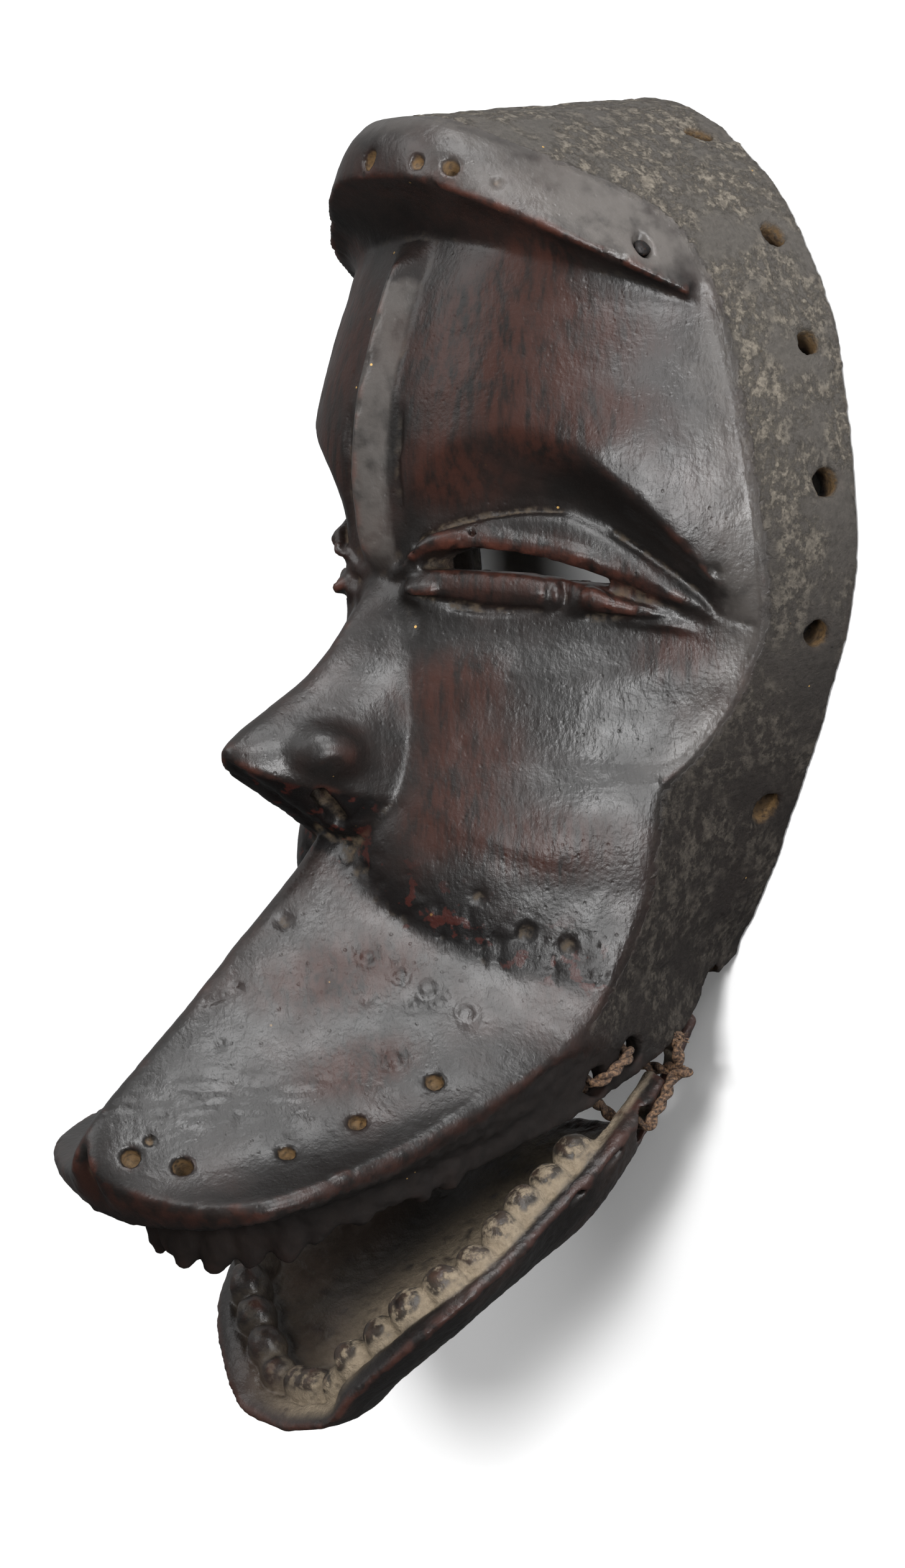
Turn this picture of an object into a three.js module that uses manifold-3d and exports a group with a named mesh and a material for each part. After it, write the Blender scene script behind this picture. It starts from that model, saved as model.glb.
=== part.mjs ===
// Carved hardwood face mask with a long beak and a lower jaw that is lashed on with cord.
// Millimetres. The mask lies on its back rim: z = 0 is the plane of the rim, +Z points out of the
// face, +Y to the crown, +X to the wearer's left. Every form is worked out for one half and mirrored.
import * as THREE from 'three';
import { mergeVertices } from 'three/addons/utils/BufferGeometryUtils.js';
import Module from 'manifold-3d';

const wasm = await Module();
wasm.setup();

// Driving dimensions
const CENTRE_Y = 54.016; // from the level of the eyebrows, where the tables count y, to the origin
const WALL_CUT = 5; // how far a hollow is carried past the edge that it opens
const RIM_WALL = 8.5; // thickness of the wall at the back rim
const FAN_TOP = 58; // the rows of the face turn into a fan above this y
const FAN_LOW = -100; // and below this one
const RIM_HOLE = 6.8; // diameter of the holes round the side band
const CORD = 3; // diameter of the lashing cord
const CORD_HOLE = 7.4;
const JAW_HOLE = 8.4;
const BEAK_HOLE = 5; // diameter of the shallow holes on the beak
const BEAK_HOLE_DEPTH = 4;
const BEAK_SLOPE = 1.89; // fall of the beak's roof for each millimetre off its crest
const TIP_LEAN = 0.118; // the beak is carved out of true: its tip leans over by this slope
const FACE_WALL = 10.5; // thickness of the face, and of the beak's roof, along z
const BEAK_WALL = 20;
const MOUTH_WALL = 7;
const SIDE_WALL = 9.5;
const LID_WALL = 8;
const HOLLOW_TOP = 44; // the rows of the hollow fan out above this y
const TOOTH_PITCH = 8.4;
const TOOTH_WIDE = 9.6;
const TOOTH_THICK = 5.5;
const TOOTH_LONG = 6.5; // below the edge that it stands on
const TOOTH_SUNK = 3;
const MOUND_PITCH = 9.4;
const GAP = 0.3; // left between pieces that touch
const JAW_DEPTH = 25;
const JAW_DOWN = [0, -0.79, -0.613]; // from the jaw's rim to its keel

// Colours
const WOOD = { color: 0x2a1c17, roughness: 0.42, metalness: 0 };
const JAW_WOOD = { color: 0x30221b, roughness: 0.5, metalness: 0 };
const FIBRE = { color: 0x5b4230, roughness: 0.85, metalness: 0 };
const IRON = { color: 0x1d1b1b, roughness: 0.45, metalness: 0.8 };

// Front edge of the face from the crown to the lip: the edge where the side band starts, then
// the upper edge of the lip. Each row is [station, x, y, z].
const FRONT_EDGE = [
  [0, 0, 95.5, 81], [0.05, 12, 94.3, 79], [0.09, 22, 89.8, 72], [0.13, 29, 85.5, 62],
  [0.17, 35, 81.5, 53], [0.21, 41.5, 76.5, 43.5], [0.25, 47, 71, 37.5], [0.29, 53.5, 61.5, 34.5],
  [0.33, 59, 50, 32.5], [0.38, 63, 33, 30.5], [0.43, 66, 15, 29], [0.48, 67.4, -5, 26.5],
  [0.53, 65.1, -23, 23.5], [0.56, 61.9, -34, 25.5], [0.59, 58.3, -44.2, 29.5],
  [0.62, 54.5, -54.5, 37], [0.645, 52.4, -61, 44], [0.68, 51.8, -74, 46], [0.71, 50.5, -87, 47.5],
  [0.75, 49, -101, 53], [0.79, 48, -112, 61], [0.81, 47.7, -116.5, 66], [0.84, 46.8, -123, 82],
  [0.87, 45.4, -130, 100], [0.9, 44.2, -136, 115], [0.93, 43, -140.5, 131], [0.95, 40.5, -144, 143],
  [0.965, 36, -147, 153], [0.978, 24, -149, 162], [0.988, 10, -148.4, 169],
  [0.995, 3, -144.5, 172.9], [1, 0, -137.5, 172],
];
// Open edge at the back: the rim that the mask lies on, a corner, then the edge of the mouth.
const BACK_EDGE = [
  [0, 0, 103, 0], [0.05, 13, 100.7, 0], [0.09, 24, 95.7, 0], [0.13, 34, 89.5, 0],
  [0.17, 42, 82.8, 0], [0.21, 49, 75.4, 0], [0.25, 55, 67.5, 0], [0.29, 60.6, 57.5, 0],
  [0.33, 66, 45.4, 0], [0.38, 69.9, 27, 0], [0.43, 72.5, 10, 0], [0.48, 73.6, -6, 0],
  [0.53, 69.8, -25, 0], [0.56, 65.6, -36.5, 0], [0.59, 60.8, -48.8, 0], [0.62, 55.4, -60.5, 0],
  [0.645, 50.9, -69.5, 0], [0.68, 44.8, -82, 0], [0.71, 38.6, -92.5, 0], [0.745, 32, -102.5, 0],
  [0.765, 34, -109.5, 11], [0.79, 38.8, -119, 25], [0.815, 41, -126, 40], [0.84, 42.5, -132, 56],
  [0.865, 42, -137.5, 72], [0.89, 38.5, -143.5, 88], [0.91, 37, -149, 104], [0.93, 35, -153, 116],
  [0.95, 31, -156.5, 126], [0.965, 25.5, -158.5, 133], [0.978, 18, -160.3, 139],
  [0.988, 10, -161, 143.5], [1, 0, -161, 146],
];
// Lower, outer edge of the lip
const LIP_LOW = [
  [0.79, 48, -113, 60.5], [0.84, 47, -126.5, 80.5], [0.87, 45.8, -134.5, 98.5],
  [0.9, 44.6, -141, 116], [0.93, 43.3, -146, 134], [0.95, 41, -149, 145], [0.965, 37, -151.5, 151],
  [0.978, 26, -155, 157.5], [0.988, 12, -157.2, 161.5], [1, 0, -157.8, 163.5],
];
// Brow ledge: its lower lip, and the crease where its underside meets the forehead
const LEDGE_END = 0.3;
const LEDGE_LIP = [
  [0, 0, 81.4, 88], [0.06, 14, 80.3, 86.5], [0.11, 25, 76.6, 81], [0.16, 34, 72.4, 73.5],
  [0.21, 44, 66.4, 65], [0.26, 51.5, 60.6, 54], [0.3, 58, 53.5, 40],
];
const LEDGE_CREASE = [
  [0, 0, 67.5], [0.06, 12, 66.5], [0.11, 22, 65], [0.16, 31, 62.5], [0.21, 41, 59.5],
  [0.26, 49.5, 56.5], [0.3, 56.8, 51.5],
];
// Middle line of the plain face, without ridge, nose and beak: [y, z]
const FACE_LINE = [
  [68, 72.5], [55, 78.5], [45, 82], [30, 86.3], [14, 88], [0, 86.5], [-12, 84.5], [-30, 86.5],
  [-45, 90], [-60, 94], [-72, 98], [-85, 98], [-100, 94],
];
const BEND = [[60, 2.5], [20, 2.7], [-15, 2.5], [-60, 1.6], [-80, 2.3], [-100, 2.4]];
const NOSE_LINE = [
  [-8, 85], [-12.5, 87], [-20, 93], [-26, 97.8], [-31.3, 103], [-36.8, 110], [-42.4, 119],
  [-47.8, 128], [-51.5, 131.8], [-54, 132],
];
const NOSE_HALF = [[-8, 6], [-20, 10.5], [-32, 13.5], [-45, 15.5], [-56, 16.5], [-66, 16]];
const NOSE_ROUND = [[-8, 1.1], [-35, 1.2], [-55, 1.55]];
const BEAK_LINE = [
  [-62, 93], [-71.6, 102.5], [-80, 110], [-93.8, 124.8], [-110.8, 143], [-125.5, 159.5],
  [-138, 175], [-160, 199],
];
const BROW_ARCH = [
  [6, -4], [12, 8], [20, 16.5], [30, 22.3], [38, 23.5], [46, 19.5], [53, 10], [58, 0], [62, -12],
  [66, -24],
];
const SLIT_HIGH = 4; // height of the open slit of the eye
const SLIT_TOP = [
  [6, -10], [14, -6.6], [22, -5.6], [30, -6.4], [38, -8.6], [44, -11.5], [60, -22], [66, -27],
];
const ROLL_LOW = [[6, -18], [30, -19.5], [60, -26.5], [66, -29]];
const LID_TOP = [
  [6, -12.5], [14, -4.5], [25, 1.7], [37, 2.8], [45, -2.5], [53, -12], [60, -20.5], [66, -25.5],
];

// Value of a table at t: a smooth curve through rows that start with their place on it
function along(table, t) {
  const rows = table[0][0] <= table[table.length - 1][0] ? table : [...table].reverse();
  const last = rows.length - 1;
  const at = Math.min(Math.max(t, rows[0][0]), rows[last][0]);
  let i = 0;
  while (i < last - 1 && at > rows[i + 1][0]) i += 1;
  const step = rows[i + 1][0] - rows[i][0];
  const s = (at - rows[i][0]) / step;
  const slope = (k, c) => {
    const a = rows[Math.max(k - 1, 0)];
    const b = rows[Math.min(k + 1, last)];
    return ((b[c] - a[c]) / (b[0] - a[0])) * step;
  };
  const value = (c) => {
    const a = rows[i][c];
    const b = rows[i + 1][c];
    const blend = s * s * (3 - 2 * s);
    const lead = s * (1 - s) * ((1 - s) * slope(i, c) - s * slope(i + 1, c));
    return a + (b - a) * blend + lead;
  };
  const values = rows[0].slice(1).map((_, c) => value(c + 1));
  return values.length === 1 ? values[0] : values;
}

const mix = (a, b, s) => a + (b - a) * s;
const clamp = (v, low = 0, high = 1) => Math.min(Math.max(v, low), high);
const smooth = (a, b, v) => {
  const s = clamp((v - a) / (b - a));
  return s * s * (3 - 2 * s);
};
// The higher of two heights, with a fillet of about r between them
function softMax(a, b, r) {
  const h = clamp(r - Math.abs(a - b), 0, r);
  return Math.max(a, b) + (h * h) / (4 * r);
}

// Station of the front edge at a given y, for rows that run straight across
function stationAt(y) {
  let low = 0.29;
  let high = 0.8;
  for (let n = 0; n < 24; n += 1) {
    const middle = (low + high) / 2;
    if (along(FRONT_EDGE, middle)[1] > y) low = middle;
    else high = middle;
  }
  return (low + high) / 2;
}

// Plain forehead and cheek heights at x, y
function forehead(x, y) {
  const [edgeX, , edgeZ] = along(FRONT_EDGE, stationAt(clamp(y, FAN_LOW, 52)));
  const middle = along(FACE_LINE, y);
  return edgeZ + (middle - edgeZ) * (1 - clamp(x / edgeX) ** along(BEND, y));
}
function cheek(x, y) {
  const [edgeX, , edgeZ] = along(FRONT_EDGE, stationAt(clamp(y, FAN_LOW, 0)));
  const middle = along(FACE_LINE, y);
  const flat = 12;
  const bend = mix(1.08, 1.6, smooth(-45, -84, y));
  const s = clamp((x - flat) / (edgeX - flat));
  return edgeZ + (middle - edgeZ) * (1 - s ** bend);
}

// Eye: a socket under the brow arch, the bulging upper lid, the slit and the roll of the lower lid
function eyed(x, y) {
  const brow = forehead(x, y);
  const below = Math.min(brow, cheek(x, Math.min(y, -20)));
  const top = along(BROW_ARCH, x);
  const lid = along(LID_TOP, x);
  const slit = along(SLIT_TOP, x);
  const inner = smooth(3, 11, x);
  const down = clamp((top - y) / Math.max(top - lid, 2));
  const plain = mix(brow, mix(brow, below, 0.85), smooth(0, 1, down) ** 0.8 * inner);
  const settled = mix(plain, below, smooth(lid, slit, y) * inner);
  const across = clamp((lid - y) / Math.max(lid - slit, 1));
  const span = smooth(6, 13, x) * (1 - smooth(52, 62, x));
  const bulge = y < lid && y > slit - 0.5 ? 4.2 * Math.sin(Math.PI * mix(0.08, 0.8, across)) ** 0.7 : 0;
  const low = along(ROLL_LOW, x);
  const under = clamp((slit - SLIT_HIGH - y) / Math.max(slit - SLIT_HIGH - low, 1));
  const roll = y < slit - SLIT_HIGH + 0.5 && y > low ? 3.2 * Math.sin(Math.PI * mix(0.2, 1, under)) : 0;
  return settled + (bulge + roll) * span;
}

// Nose: a sharp pyramid with an undercut base
function nose(x, y, base) {
  const brink = -53.2 - 0.62 * x;
  const topY = Math.max(y, brink);
  const half = along(NOSE_HALF, topY);
  const s = clamp(x / half);
  const round = along(NOSE_ROUND, topY);
  const crest = along(NOSE_LINE, topY);
  let height = base + (crest - base) * (1 - s ** round);
  height -= 1.75 * Math.max(brink - y, 0);
  const starts = smooth(-6, -16, y);
  return mix(base, softMax(base, height, 3), starts);
}

// Beak: two long slopes that meet in a rounded crest, cut blunt at the front
function beak(x, y) {
  const rounded = Math.sqrt(x * x + 16) - 4;
  const hollow = 1.6 * Math.sin(Math.PI * clamp(x / 46)) * smooth(-80, -105, y);
  const roof = along(BEAK_LINE, y) - BEAK_SLOPE * rounded - hollow;
  return roof;
}

// Height of the carved face at x, y, where base is the plain surface
function carved(x, y, base) {
  let z = base;
  if (y < 30 && y > -30) z = mix(z, eyed(x, y), smooth(30, 25, y) * smooth(-27, -22, y));
  if (y > -14) {
    const ridge = 4.6 * smooth(68, 60, y) * smooth(-14, -4, y);
    z += ridge * clamp(1 - x / 5.5) ** 0.8;
  }
  if (y < -6 && y > -80) z = nose(x, y, z);
  if (y < -60) z = softMax(z, beak(x, y), 5);
  return z;
}

// Height of the uncarved face: forehead above the eyes and cheeks below them
function plainFace(x, y) {
  return mix(forehead(x, y), cheek(x, y), smooth(-16, -24, y));
}

// The rows that cross an eye bend so that they follow its arch, lid and slit
const EYE_TOP = 27;
const EYE_ROWS = [
  [0, () => EYE_TOP],
  [0.35, (x) => along(BROW_ARCH, x)],
  [0.6, (x) => along(LID_TOP, x)],
  [0.76, (x) => along(SLIT_TOP, x)],
  [0.83, (x) => along(SLIT_TOP, x) - SLIT_HIGH],
  [0.92, (x) => along(ROLL_LOW, x)],
  [1, () => -EYE_TOP],
];
function rowY(level, x) {
  const e = (EYE_TOP - level) / (2 * EYE_TOP);
  if (e <= 0 || e >= 1) return level;
  let i = 0;
  while (e > EYE_ROWS[i + 1][0]) i += 1;
  const [from, upper] = EYE_ROWS[i];
  const [to, lower] = EYE_ROWS[i + 1];
  const follow = mix(upper(x), lower(x), (e - from) / (to - from));
  return mix(level, follow, smooth(1, 10, x) * (1 - smooth(52, 65, x)));
}

// One point of the front: station t on the front edge, s from the middle line to that edge
function frontPoint(t, s) {
  const edge = along(FRONT_EDGE, t);
  const level = clamp(edge[1], FAN_LOW, FAN_TOP);
  const x = edge[0] * s;
  const y = level === edge[1] ? rowY(level, x) : mix(level, edge[1], s);
  return [x, y, carved(x, y, plainFace(x, y))];
}

// Share of the way out at which ring j lies, on the ledge and on the plain rows below it
const ROW_RINGS = [0, 0.045, 0.1, 0.16, 0.23, 0.31, 0.4, 0.49, 0.58, 0.67, 0.76, 0.85, 0.93, 1];
const CREASE_RING = 7;
const LIP_RING = 10;
const EDGE_RING = 13;

function frontRing(t, j) {
  const edge = along(FRONT_EDGE, t);
  if (t <= LEDGE_END) {
    const [creaseX, creaseY] = along(LEDGE_CREASE, t);
    const crease = [creaseX, creaseY, forehead(creaseX, creaseY)];
    const lip = along(LEDGE_LIP, t);
    if (j >= LIP_RING) {
      const s = (j - LIP_RING) / (EDGE_RING - LIP_RING);
      const swell = 1.8 * Math.sin(Math.PI * s) * (1 - t / LEDGE_END);
      return lip.map((v, c) => mix(v, edge[c], s) + (c === 0 ? 0 : swell));
    }
    if (j >= CREASE_RING) {
      const s = (j - CREASE_RING) / (LIP_RING - CREASE_RING);
      const sag = 3.2 * Math.sin(Math.PI * s) * (1 - 0.7 * (t / LEDGE_END));
      return crease.map((v, c) => mix(v, lip[c], s) - (c === 2 ? sag : 0));
    }
    const s = j / CREASE_RING;
    const x = creaseX * s;
    const y = mix(FAN_TOP, creaseY, s);
    return [x, y, carved(x, y, forehead(x, y))];
  }
  if (j === EDGE_RING) return edge;
  const settle = smooth(LEDGE_END, LEDGE_END + 0.07, t);
  const upToCrease = Math.min(j / CREASE_RING, 1);
  const ledgeShare = 0.955 * upToCrease + 0.0075 * Math.max(j - CREASE_RING, 0);
  const point = frontPoint(t, mix(ledgeShare, ROW_RINGS[j], settle));
  const missing = edge[2] - frontPoint(t, 1)[2];
  point[2] += missing * ROW_RINGS[j] ** 6;
  return point;
}

// Rings of the side band, from the front edge back to the rim or the edge of the mouth. Under the
// lip they make its rounded face, the groove behind it and the strip that carries the teeth.
const BAND_RINGS = 4;
const BAND_SHARE = [0, 0.3, 0.55, 0.8, 1];

function bandRing(t, k) {
  const front = along(FRONT_EDGE, t);
  const back = along(BACK_EDGE, t);
  back[2] = Math.max(back[2], 0);
  if (k === BAND_RINGS) return back;
  const s = BAND_SHARE[k];
  const plain = front.map((v, c) => mix(v, back[c], s));
  const swell = 1.5 * Math.sin(Math.PI * s);
  plain[0] += (swell * plain[0]) / (Math.hypot(plain[0], plain[1]) || 1);
  const underLip = smooth(0.79, 0.83, t);
  if (underLip === 0) return plain;
  const low = along(LIP_LOW, t);
  const bulge = 1.3 / (Math.hypot(front[0], front[2] - 75) || 1);
  const face = front.map((v, c) => mix(v, low[c], 0.5));
  const place = [
    [face[0] * (1 + bulge), face[1], face[2] + (front[2] - 75) * bulge],
    low,
    [mix(back[0], low[0], 0.2), mix(back[1], low[1], 0.75) + 1, mix(back[2], low[2], 0.2)],
  ][k - 1];
  return plain.map((v, c) => mix(v, place[c], underLip));
}

// The lean of the beak's tip
function leaned([x, y, z]) {
  return [x, y - TIP_LEAN * x * smooth(-95, -150, y), z];
}

// Closed half grid mirrored into a whole: the open edge is capped straight across
function mirroredSolid(stations, rings, pointAt, settle = leaned) {
  const positions = [];
  const index = [];
  const wide = rings + 1;
  const place = (side, i, j) => side * stations.length * wide + i * wide + j;
  for (const side of [0, 1]) {
    for (const t of stations) {
      for (let j = 0; j <= rings; j += 1) {
        const [x, y, z] = pointAt(t, j);
        const onMiddle = j === 0 || t === stations[0] || t === stations[stations.length - 1];
        positions.push(...settle([onMiddle ? 0 : side ? -x : x, y, z]));
      }
    }
  }
  const quad = (a, b, c, d, flip) => {
    if (flip) index.push(a, c, b, a, d, c);
    else index.push(a, b, c, a, c, d);
  };
  for (let i = 0; i < stations.length - 1; i += 1) {
    for (let j = 0; j < rings; j += 1) {
      for (const side of [0, 1]) {
        const cell = [[i, j], [i + 1, j], [i + 1, j + 1], [i, j + 1]];
        const [a, b, c, d] = cell.map(([m, n]) => place(side, m, n));
        quad(a, b, c, d, side === 1);
      }
    }
    const [left, right] = [1, 0].map((side) => [place(side, i, rings), place(side, i + 1, rings)]);
    quad(right[0], right[1], left[1], left[0], false);
  }
  return closedSolid(positions, index);
}

// Solid from positions and triangles, without the triangles that have no area
function closedSolid(positions, index) {
  const geometry = new THREE.BufferGeometry();
  geometry.setAttribute('position', new THREE.Float32BufferAttribute(positions, 3));
  geometry.setIndex(index);
  const merged = mergeVertices(geometry, 1e-4);
  const found = merged.index.array;
  const kept = [];
  for (let i = 0; i < found.length; i += 3) {
    const [a, b, c] = [found[i], found[i + 1], found[i + 2]];
    if (a !== b && b !== c && a !== c) kept.push(a, b, c);
  }
  const build = (triangles) => new wasm.Manifold(new wasm.Mesh({
    numProp: 3,
    vertProperties: new Float32Array(merged.attributes.position.array),
    triVerts: new Uint32Array(triangles),
  }));
  const solid = build(kept);
  return solid.volume() > 0 ? solid : build(kept.reverse());
}

// Solid of a closed three.js geometry, placed by a matrix
function solidOf(geometry, matrix = new THREE.Matrix4()) {
  const placed = geometry.clone().applyMatrix4(matrix);
  placed.deleteAttribute('normal');
  placed.deleteAttribute('uv');
  const merged = mergeVertices(placed, 1e-4);
  return closedSolid(Array.from(merged.attributes.position.array), Array.from(merged.index.array));
}

function geometryOf(solid) {
  const mesh = solid.getMesh();
  const geometry = new THREE.BufferGeometry();
  geometry.setAttribute('position', new THREE.BufferAttribute(new Float32Array(mesh.vertProperties), 3));
  geometry.setIndex(new THREE.BufferAttribute(new Uint32Array(mesh.triVerts), 1));
  geometry.computeVertexNormals();
  return geometry;
}

// Numbers spread between ends: [start, end, steps] spans laid one after another
function spread(spans) {
  const values = [spans[0][0]];
  for (const [start, end, steps] of spans) {
    for (let i = 1; i <= steps; i += 1) values.push(mix(start, end, i / steps));
  }
  return values;
}

// Outer body of the face
function outerFace() {
  const stations = spread([
    [0, 0.3, 8], [0.3, 0.397, 4], [0.397, 0.447, 3], [0.447, 0.482, 4], [0.482, 0.508, 3],
    [0.508, 0.519, 1], [0.519, 0.541, 3], [0.541, 0.645, 5], [0.645, 0.745, 4], [0.745, 0.79, 3],
    [0.79, 0.95, 6], [0.95, 1, 6],
  ]);
  return mirroredSolid(stations, EDGE_RING + BAND_RINGS, (t, j) => (
    j <= EDGE_RING ? frontRing(t, j) : bandRing(t, j - EDGE_RING)
  ));
}

// Outer edge of an opening moved inwards by the wall and along a direction by a distance
function insetEdge(edge, t, wall, out, past) {
  const here = along(edge, t);
  const next = along(edge, Math.min(t + 0.004, 1));
  const last = along(edge, Math.max(t - 0.004, 0));
  const run = new THREE.Vector3(...next.map((v, c) => v - last[c])).normalize();
  const inward = new THREE.Vector3(...out).cross(run).normalize();
  return here.map((v, c) => v + inward.getComponent(c) * wall + out[c] * past);
}

// Direction out of the opening: out of the rim, then down out of the mouth
function openWay(t) {
  const toMouth = smooth(0.72, 0.8, t);
  return [0, -0.95 * toMouth, mix(-1, -0.25, toMouth)];
}

// Hollow of the mask, from the rim and the mouth to the back of the face and of the beak
const HOLLOW_RINGS = 7;
const HOLLOW_EDGE = 5;
function hollowPoint(t, j) {
  const wall = mix(RIM_WALL, MOUTH_WALL, smooth(0.745, 0.8, t));
  const [edgeX, edgeY] = along(FRONT_EDGE, t);
  const level = clamp(edgeY, FAN_LOW, HOLLOW_TOP);
  const shrink = 1 - SIDE_WALL / Math.hypot(edgeX, edgeY - level);
  const innerX = edgeX * shrink;
  const innerY = Math.min(mix(level, edgeY, shrink), 71 - 0.0062 * innerX * innerX);
  const s = Math.min(j / HOLLOW_EDGE, 1) ** 0.8;
  const x = innerX * s;
  const y = mix(level, innerY, s);
  const inBeak = smooth(-76, -100, y);
  const plain = plainFace(x, y);
  const behindEye = Math.abs(y) < EYE_TOP ? eyed(x, y) - LID_WALL : Infinity;
  const face = mix(plain - FACE_WALL, softMax(plain, beak(x, y), 8) - BEAK_WALL, inBeak);
  const inner = [x, y, Math.min(face, behindEye)];
  if (j <= HOLLOW_EDGE) return inner;
  const border = insetEdge(BACK_EDGE, t, wall, openWay(t), WALL_CUT);
  return inner.map((v, c) => mix(v, border[c], (j - HOLLOW_EDGE) / (HOLLOW_RINGS - HOLLOW_EDGE)));
}
function hollow() {
  const stations = spread([[0, 0.3, 5], [0.3, 0.7, 11], [0.7, 0.86, 4], [0.86, 1, 5]]);
  return mirroredSolid(stations, HOLLOW_RINGS, hollowPoint);
}

// Round hole or peg along a direction
function rod(centre, direction, diameter, length, sides = 6) {
  const turn = new THREE.Quaternion().setFromUnitVectors(
    new THREE.Vector3(0, 1, 0),
    new THREE.Vector3(...direction).normalize(),
  );
  const place = new THREE.Matrix4().compose(new THREE.Vector3(...centre), turn, new THREE.Vector3(1, 1, 1));
  return solidOf(new THREE.CylinderGeometry(diameter / 2, diameter / 2, length, sides), place);
}
const bothSides = ([x, y, z]) => [[x, y, z], [-x, y, z]];

// Holes through the side band, for tying on a fringe: [x, y, z]
const BAND_HOLES = [
  [27.3, 94, 9], [52.2, 67.4, 9], [63.8, 42, 9], [71.5, 10.1, 9], [67.5, -25.1, 9], [49, -64, 9],
  [28.5, -101, 10],
];
const JAW_HOLES = [[-129, 25], [-141, 36]]; // [y, z]
const CORD_HOLES = [[43, -121, 44], [43, -126.5, 55]];
const KNOB = { at: [10, -52.5, 108], radius: 7.5 };
const BEAK_HOLES = [
  [8.8, -141.4, 165.8], [16, -143.5, 156], [28.5, -138.5, 136.3], [32.8, -132.5, 119.3],
  [36.9, -124.5, 99.6],
];

function bandHoles() {
  return BAND_HOLES.flatMap(bothSides).map((at) => rod(at, [at[0], at[1] * 0.8, 12], RIM_HOLE, 44));
}
function beakHoles() {
  return BEAK_HOLES.flatMap(bothSides)
    .map((at) => rod(leaned(at), [Math.sign(at[0]) * 0.5, 0.5, 0.7], BEAK_HOLE, 2 * BEAK_HOLE_DEPTH));
}
function cordHoles() {
  return CORD_HOLES.flatMap(bothSides).map((at) => rod(leaned(at), [1, 0, 0], CORD_HOLE, 30, 8));
}
function eyeSlit(side) {
  const xs = spread([[13.5, 44, 6]]);
  const high = xs.map((x) => [x, along(SLIT_TOP, x)]);
  const low = [...xs].reverse().slice(1, -1);
  const outline = high.concat(low.map((x) => [x, along(SLIT_TOP, x) - SLIT_HIGH * 0.9]));
  const shape = new THREE.Shape(outline.map(([x, y]) => new THREE.Vector2(side * x, y)));
  const geometry = new THREE.ExtrudeGeometry(shape, { depth: 90, bevelEnabled: false });
  return solidOf(geometry, new THREE.Matrix4().makeTranslation(0, 0, 20));
}

// Places along an edge at an even pitch, counted back from its middle: [station, ...]
function pitched(edge, pitch, count) {
  const places = [];
  let walked = pitch / 2;
  let last = along(edge, 1);
  for (let t = 1; places.length < count; t -= 0.001) {
    const here = along(edge, t);
    walked += Math.hypot(...here.map((v, c) => v - last[c]));
    last = here;
    if (walked >= pitch) {
      places.push(t);
      walked -= pitch;
    }
  }
  return places;
}

// Pointed upper teeth along the edge of the mouth: flat pyramids set side by side
function upperTeeth() {
  return pitched(BACK_EDGE, TOOTH_PITCH, 11).flatMap((t, n) => {
    const root = insetEdge(BACK_EDGE, t, MOUTH_WALL / 2 - 0.5, openWay(t), -TOOTH_SUNK);
    const after = along(BACK_EDGE, Math.min(t + 0.01, 1));
    const before = along(BACK_EDGE, Math.max(t - 0.01, 0));
    const long = TOOTH_LONG + TOOTH_SUNK + 1.2 * Math.sin(n * 2.3);
    const geometry = new THREE.ConeGeometry(Math.SQRT1_2, long, 4).rotateY(Math.PI / 4);
    geometry.rotateX(Math.PI).translate(0, -long / 2, 0).scale(TOOTH_WIDE, 1, TOOTH_THICK);
    const turn = new THREE.Matrix4().makeRotationY(Math.atan2(before[2] - after[2], after[0] - before[0]));
    const place = (side) => new THREE.Matrix4()
      .makeTranslation(...leaned([side * root[0], root[1], root[2]]))
      .scale(new THREE.Vector3(side, 1, 1))
      .multiply(turn);
    return [solidOf(geometry, place(1)), solidOf(geometry, place(-1))];
  });
}

// Knobs over the nostrils, and the nostrils under them
function nostrilKnobs() {
  return bothSides(KNOB.at).map((at) => (
    solidOf(new THREE.SphereGeometry(KNOB.radius, 8, 5), new THREE.Matrix4().makeTranslation(...at))
  ));
}
function nostrils() {
  return bothSides([7.5, -63, 105]).map((at) => rod(at, [0.1, -0.6, 0.8], 4.4, 16));
}

// Jaw: a scoop whose rim droops at the front. Stations run from the rear end to the front middle.
const JAW_RIM = [
  [0, 35, -115, 15], [0.09, 38, -124, 24.5], [0.18, 41, -132.5, 35], [0.28, 45, -141, 48],
  [0.36, 46, -149, 58], [0.44, 46, -157, 69], [0.54, 47.5, -166, 82], [0.64, 47, -175, 96],
  [0.71, 42.5, -182.4, 104], [0.78, 36, -190, 110], [0.88, 25, -200.5, 115.4],
  [0.94, 17, -208, 117], [1, 0, -211, 118],
];
const JAW_FAN = 0.6; // the rows of the jaw turn into a fan past this station
const JAW_RINGS = 6;
const JAW_WALL = [[0, 6], [0.6, 6.5], [0.85, 10], [1, 11]];
const JAW_FLOOR = 9.5; // thickness of wood under the trough

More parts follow.
